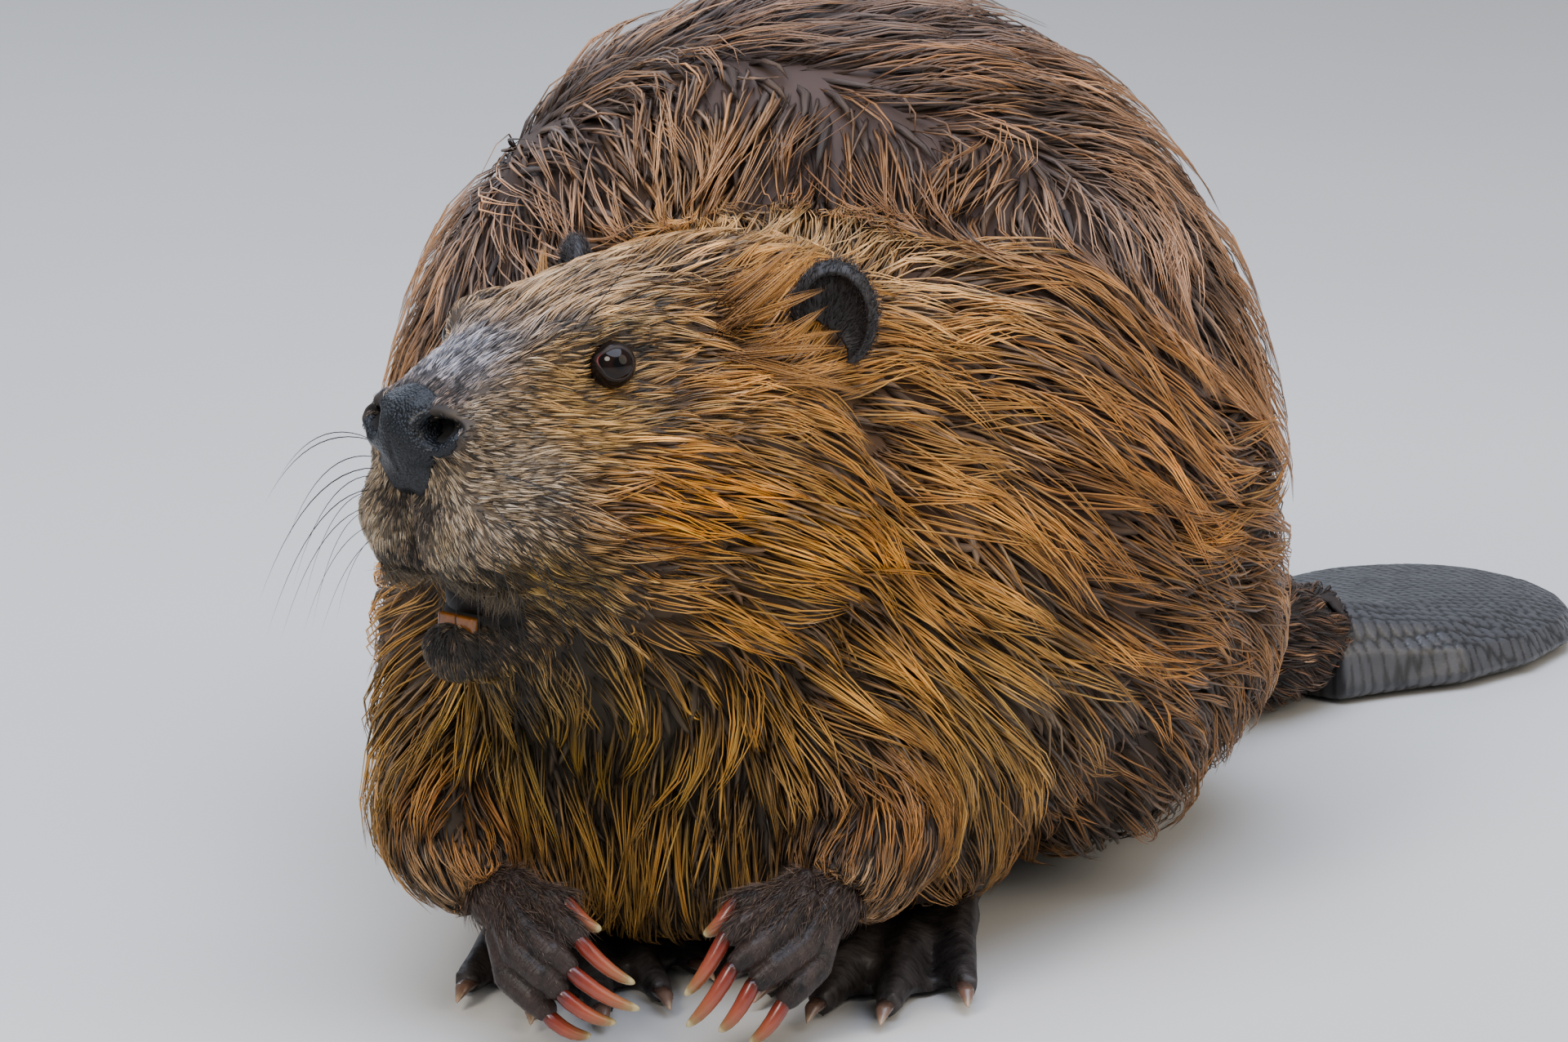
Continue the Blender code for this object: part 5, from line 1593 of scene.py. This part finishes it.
def addLipFringe(lie, hair):
    # stiff short hairs that hang from the upper lip over the mouth
    def lipOnly(points, normals):
        x, y, z = headCoordinates(points).T
        (low, high), (front, rear) = lipFringe["up"], lipFringe["back"]
        inside = (z > low) & (z < high) & (y > front) & (y < rear) & (abs(x) < lipFringe["half"])
        return inside * (normals[:, 2] > -0.9) * lipFringe["hairs"]

    growShort("lipFringe", lie.mesh, headTurn @ lipFringe["way"], lipOnly, lipFringe["size"],
              lipFringe["colours"], hair, 75, 0.2)


def addWhiskers(lie, hair):
    paths, widths = [], []
    for group in ("far", "near", "brow", "cheek"):
        both = (1, -1) if group in ("brow", "cheek") else (1,)
        for root, way, bend, length in whiskers[group]:
            for side in both:
                start = nearestOn(lie.tree, [np.array(onHead(side * root[0], *root[1:]))])[0][0]
                first = headTurn @ unit(np.array(way, float) * (side, 1, 1))
                later = headTurn @ (np.array(bend, float) * (side, 1, 1))
                t = np.linspace(0, 1, 13)[:, None]
                path = start + (first * t + later * t * t) * length * mm
                path[0] -= first * whiskers["hidden"] * mm
                paths.append(path)
                widths.append(whiskers["width"] * min(1.0, length / whiskers["full"]) * mm)
    paths, widths = np.stack(paths), np.array(widths)
    normals = unit(np.cross(unit(paths[:, 1] - paths[:, 0]), np.array([0, 0, 1.0])) + 1e-6)
    root, tip = (np.tile(linearColour(code)[:3], (len(paths), 1)) for code in whiskers["colours"])
    made = strandMesh("whiskers", paths, normals, widths, 0.9, (root, tip), unwrapOf(lie.mesh)(paths[:, 0]))
    addPiece("whiskers", made, hair)


tailScales = {  # mm
    "wide": 6.5, "long": 4.2, "groove": 0.55, "edge": 0.35, "wander": 0.8, "shake": 0.17,
    "root": (182, 402, 0), "tip": (246, 579, 0), "voxel": 1.3,
}


def tailMaterial():
    # tail hide: black-grey leathery scales with paler worn crowns and dark grooves
    settings = {"Roughness": 0.4, "Coat Weight": 0.2, "Coat Roughness": 0.3}
    material, tree, shader = newMaterial("scaledTailHide", settings)
    groove = addNode(tree, "ShaderNodeAttribute", {"attribute_name": "groove"})
    place = addNode(tree, "ShaderNodeTexCoord")
    # worn patches of 11 mm, and a grain of 1 mm on the scales
    cloud = addNode(tree, "ShaderNodeTexNoise", {"Scale": 90.0, "Detail": 5.0},
                    {"Vector": place.outputs["Object"]})
    wobble = addNode(tree, "ShaderNodeMath", {"operation": "MULTIPLY_ADD", 1: 0.5},
                     {0: cloud.outputs["Fac"], 2: groove.outputs["Fac"]})
    shade = addNode(tree, "ShaderNodeValToRGB", {}, {"Fac": wobble.outputs["Value"]})
    setStops(shade, ((0.15, "#0d0c0c"), (0.5, "#2a2929"), (1, "#4b4a4c")))
    fine = addNode(tree, "ShaderNodeTexNoise", {"Scale": 900.0, "Detail": 3.0},
                   {"Vector": place.outputs["Object"]})
    bump = addNode(tree, "ShaderNodeBump", {"Strength": 0.3, "Distance": 0.0004},
                   {"Height": fine.outputs["Fac"]})
    wire(tree, shader, shade.outputs["Color"], bump)
    return material


def addTail():
    mesh = remeshed(mergedCopy(["tail"]), tailScales["voxel"] * mm, 4)
    points, normals = pointsOf(mesh), normalsOf(mesh)
    root, tip = (np.array(onBody(*tailScales[end])) for end in ("root", "tip"))
    way = unit(tip - root)
    across = np.array([way[1], -way[0], 0])
    wander = tailScales["wander"]
    u = ((points - root) @ across / mm + waves(points, 0.03, 61) * wander) / tailScales["wide"]
    v = ((points - root) @ way / mm + waves(points, 0.03, 62) * wander) / tailScales["long"]
    # how far each point is from the two nearest of the scales' middles, which stand like bricks in a wall
    best = np.full(len(points), 9.0)
    second = np.full(len(points), 9.0)
    for dv in (-1, 0, 1, 2):
        row = np.floor(v) + dv
        for du in (-1, 0, 1, 2):
            column = np.floor(u - 0.5 * (row % 2)) + du
            shake = np.sin(row * 12.9898 + column * 78.233) * tailScales["shake"]  # no two scales are the same
            far = np.hypot(u - (column + 0.5 * (row % 2) + shake), v - (row + shake * 0.7))
            second = np.where(far < best, best, np.minimum(second, far))
            best = np.minimum(best, far)
    rise = np.clip((second - best) / tailScales["edge"], 0, 1)
    rise = rise * rise * (3 - 2 * rise)
    flat = np.clip(abs(normals[:, 2]) * 1.6 - 0.2, 0, 1)
    setPoints(mesh, points + normals * ((rise - 1) * flat * tailScales["groove"] * mm)[:, None])
    store(mesh, "groove", "FLOAT", rise * 0.6)
    addPiece("tail_blade", mesh, tailMaterial(), ["tail"])


mouth = {  # mm on the head
    "tooth": (7.1, 2.6, 10), "toothPlace": (3.7, 27.5, -64.3), "toothEdge": 0.7,
    # the lining is a nearly black shell: painted shade in the mouth
    "lining": (15, 11, 11), "liningPlace": (0, 41, -56),
}


def addTeeth():
    # lower incisors: hard orange enamel, polished by gnawing
    settings = {"Roughness": 0.25, "IOR": 1.6, "Coat Weight": 0.2}
    material = cloudedMaterial("orangeEnamel", settings, (500.0, 3.0), "#3f2206", "#93560f")
    out, back, up = mouth["toothPlace"]
    bm = bmesh.new()
    for side in (-1, 1):
        made = bmesh.ops.create_cube(bm, size=1)["verts"]
        bmesh.ops.scale(bm, vec=mouth["tooth"], verts=made)
        bmesh.ops.translate(bm, vec=(side * out, back, up), verts=made)
    bmesh.ops.bevel(bm, geom=bm.edges[:], offset=mouth["toothEdge"], offset_type="OFFSET", affect="EDGES",
                    segments=4, profile=0.5, material=-1)
    bmesh.ops.transform(bm, matrix=headPlace @ Matrix.Scale(mm, 4), verts=bm.verts)
    addPiece("incisor_pair", meshFrom(bm, "incisors"), material, ["incisors_lower"])


def addMouth():
    # painted shade: a damp, nearly black lining set in the mouth, where the lips close behind the incisors,
    # stands in for the shade inside it
    settings = {"Roughness": 0.6, "Specular IOR Level": 0.2}
    material = cloudedMaterial("mouthShadeLining", settings, (300.0, 3.0), "#0a0606", "#1c1110")
    bm = bmesh.new()
    bmesh.ops.create_icosphere(bm, subdivisions=4, radius=1)
    bmesh.ops.scale(bm, vec=mouth["lining"], verts=bm.verts)
    bmesh.ops.translate(bm, vec=mouth["liningPlace"], verts=bm.verts)
    bmesh.ops.transform(bm, matrix=headPlace @ Matrix.Scale(mm, 4), verts=bm.verts)
    addPiece("mouth_shade_lining", meshFrom(bm, "mouth"), material)


addCamera()
addFloor()
addLights()
print("skin")
skinMesh = buildSkin()
lie = Lie(skinMesh)
print("coat")
hairs = {"wet": coatMaterial("wetGuardHair", 0.4, 0.2, 0.6),
         "soft": coatMaterial("feltedUnderhair", 0.6, 0.0, 0.65)}
growCoat(lie, hairs)
paintSkin(lie)
addNosePad(skinMesh)
addPiece("skin", skinMesh, skinMaterial(), skin["nodes"])
print("head")
addEyes()
addLids()
addTeeth()
addMouth()
addEars(lie, hairs["wet"])
addWhiskers(lie, hairs["wet"])
addLipFringe(lie, hairs["wet"])
print("paws")
addHands(hairs["wet"])
addFeet()
addClaws()
print("tail")
addTail()
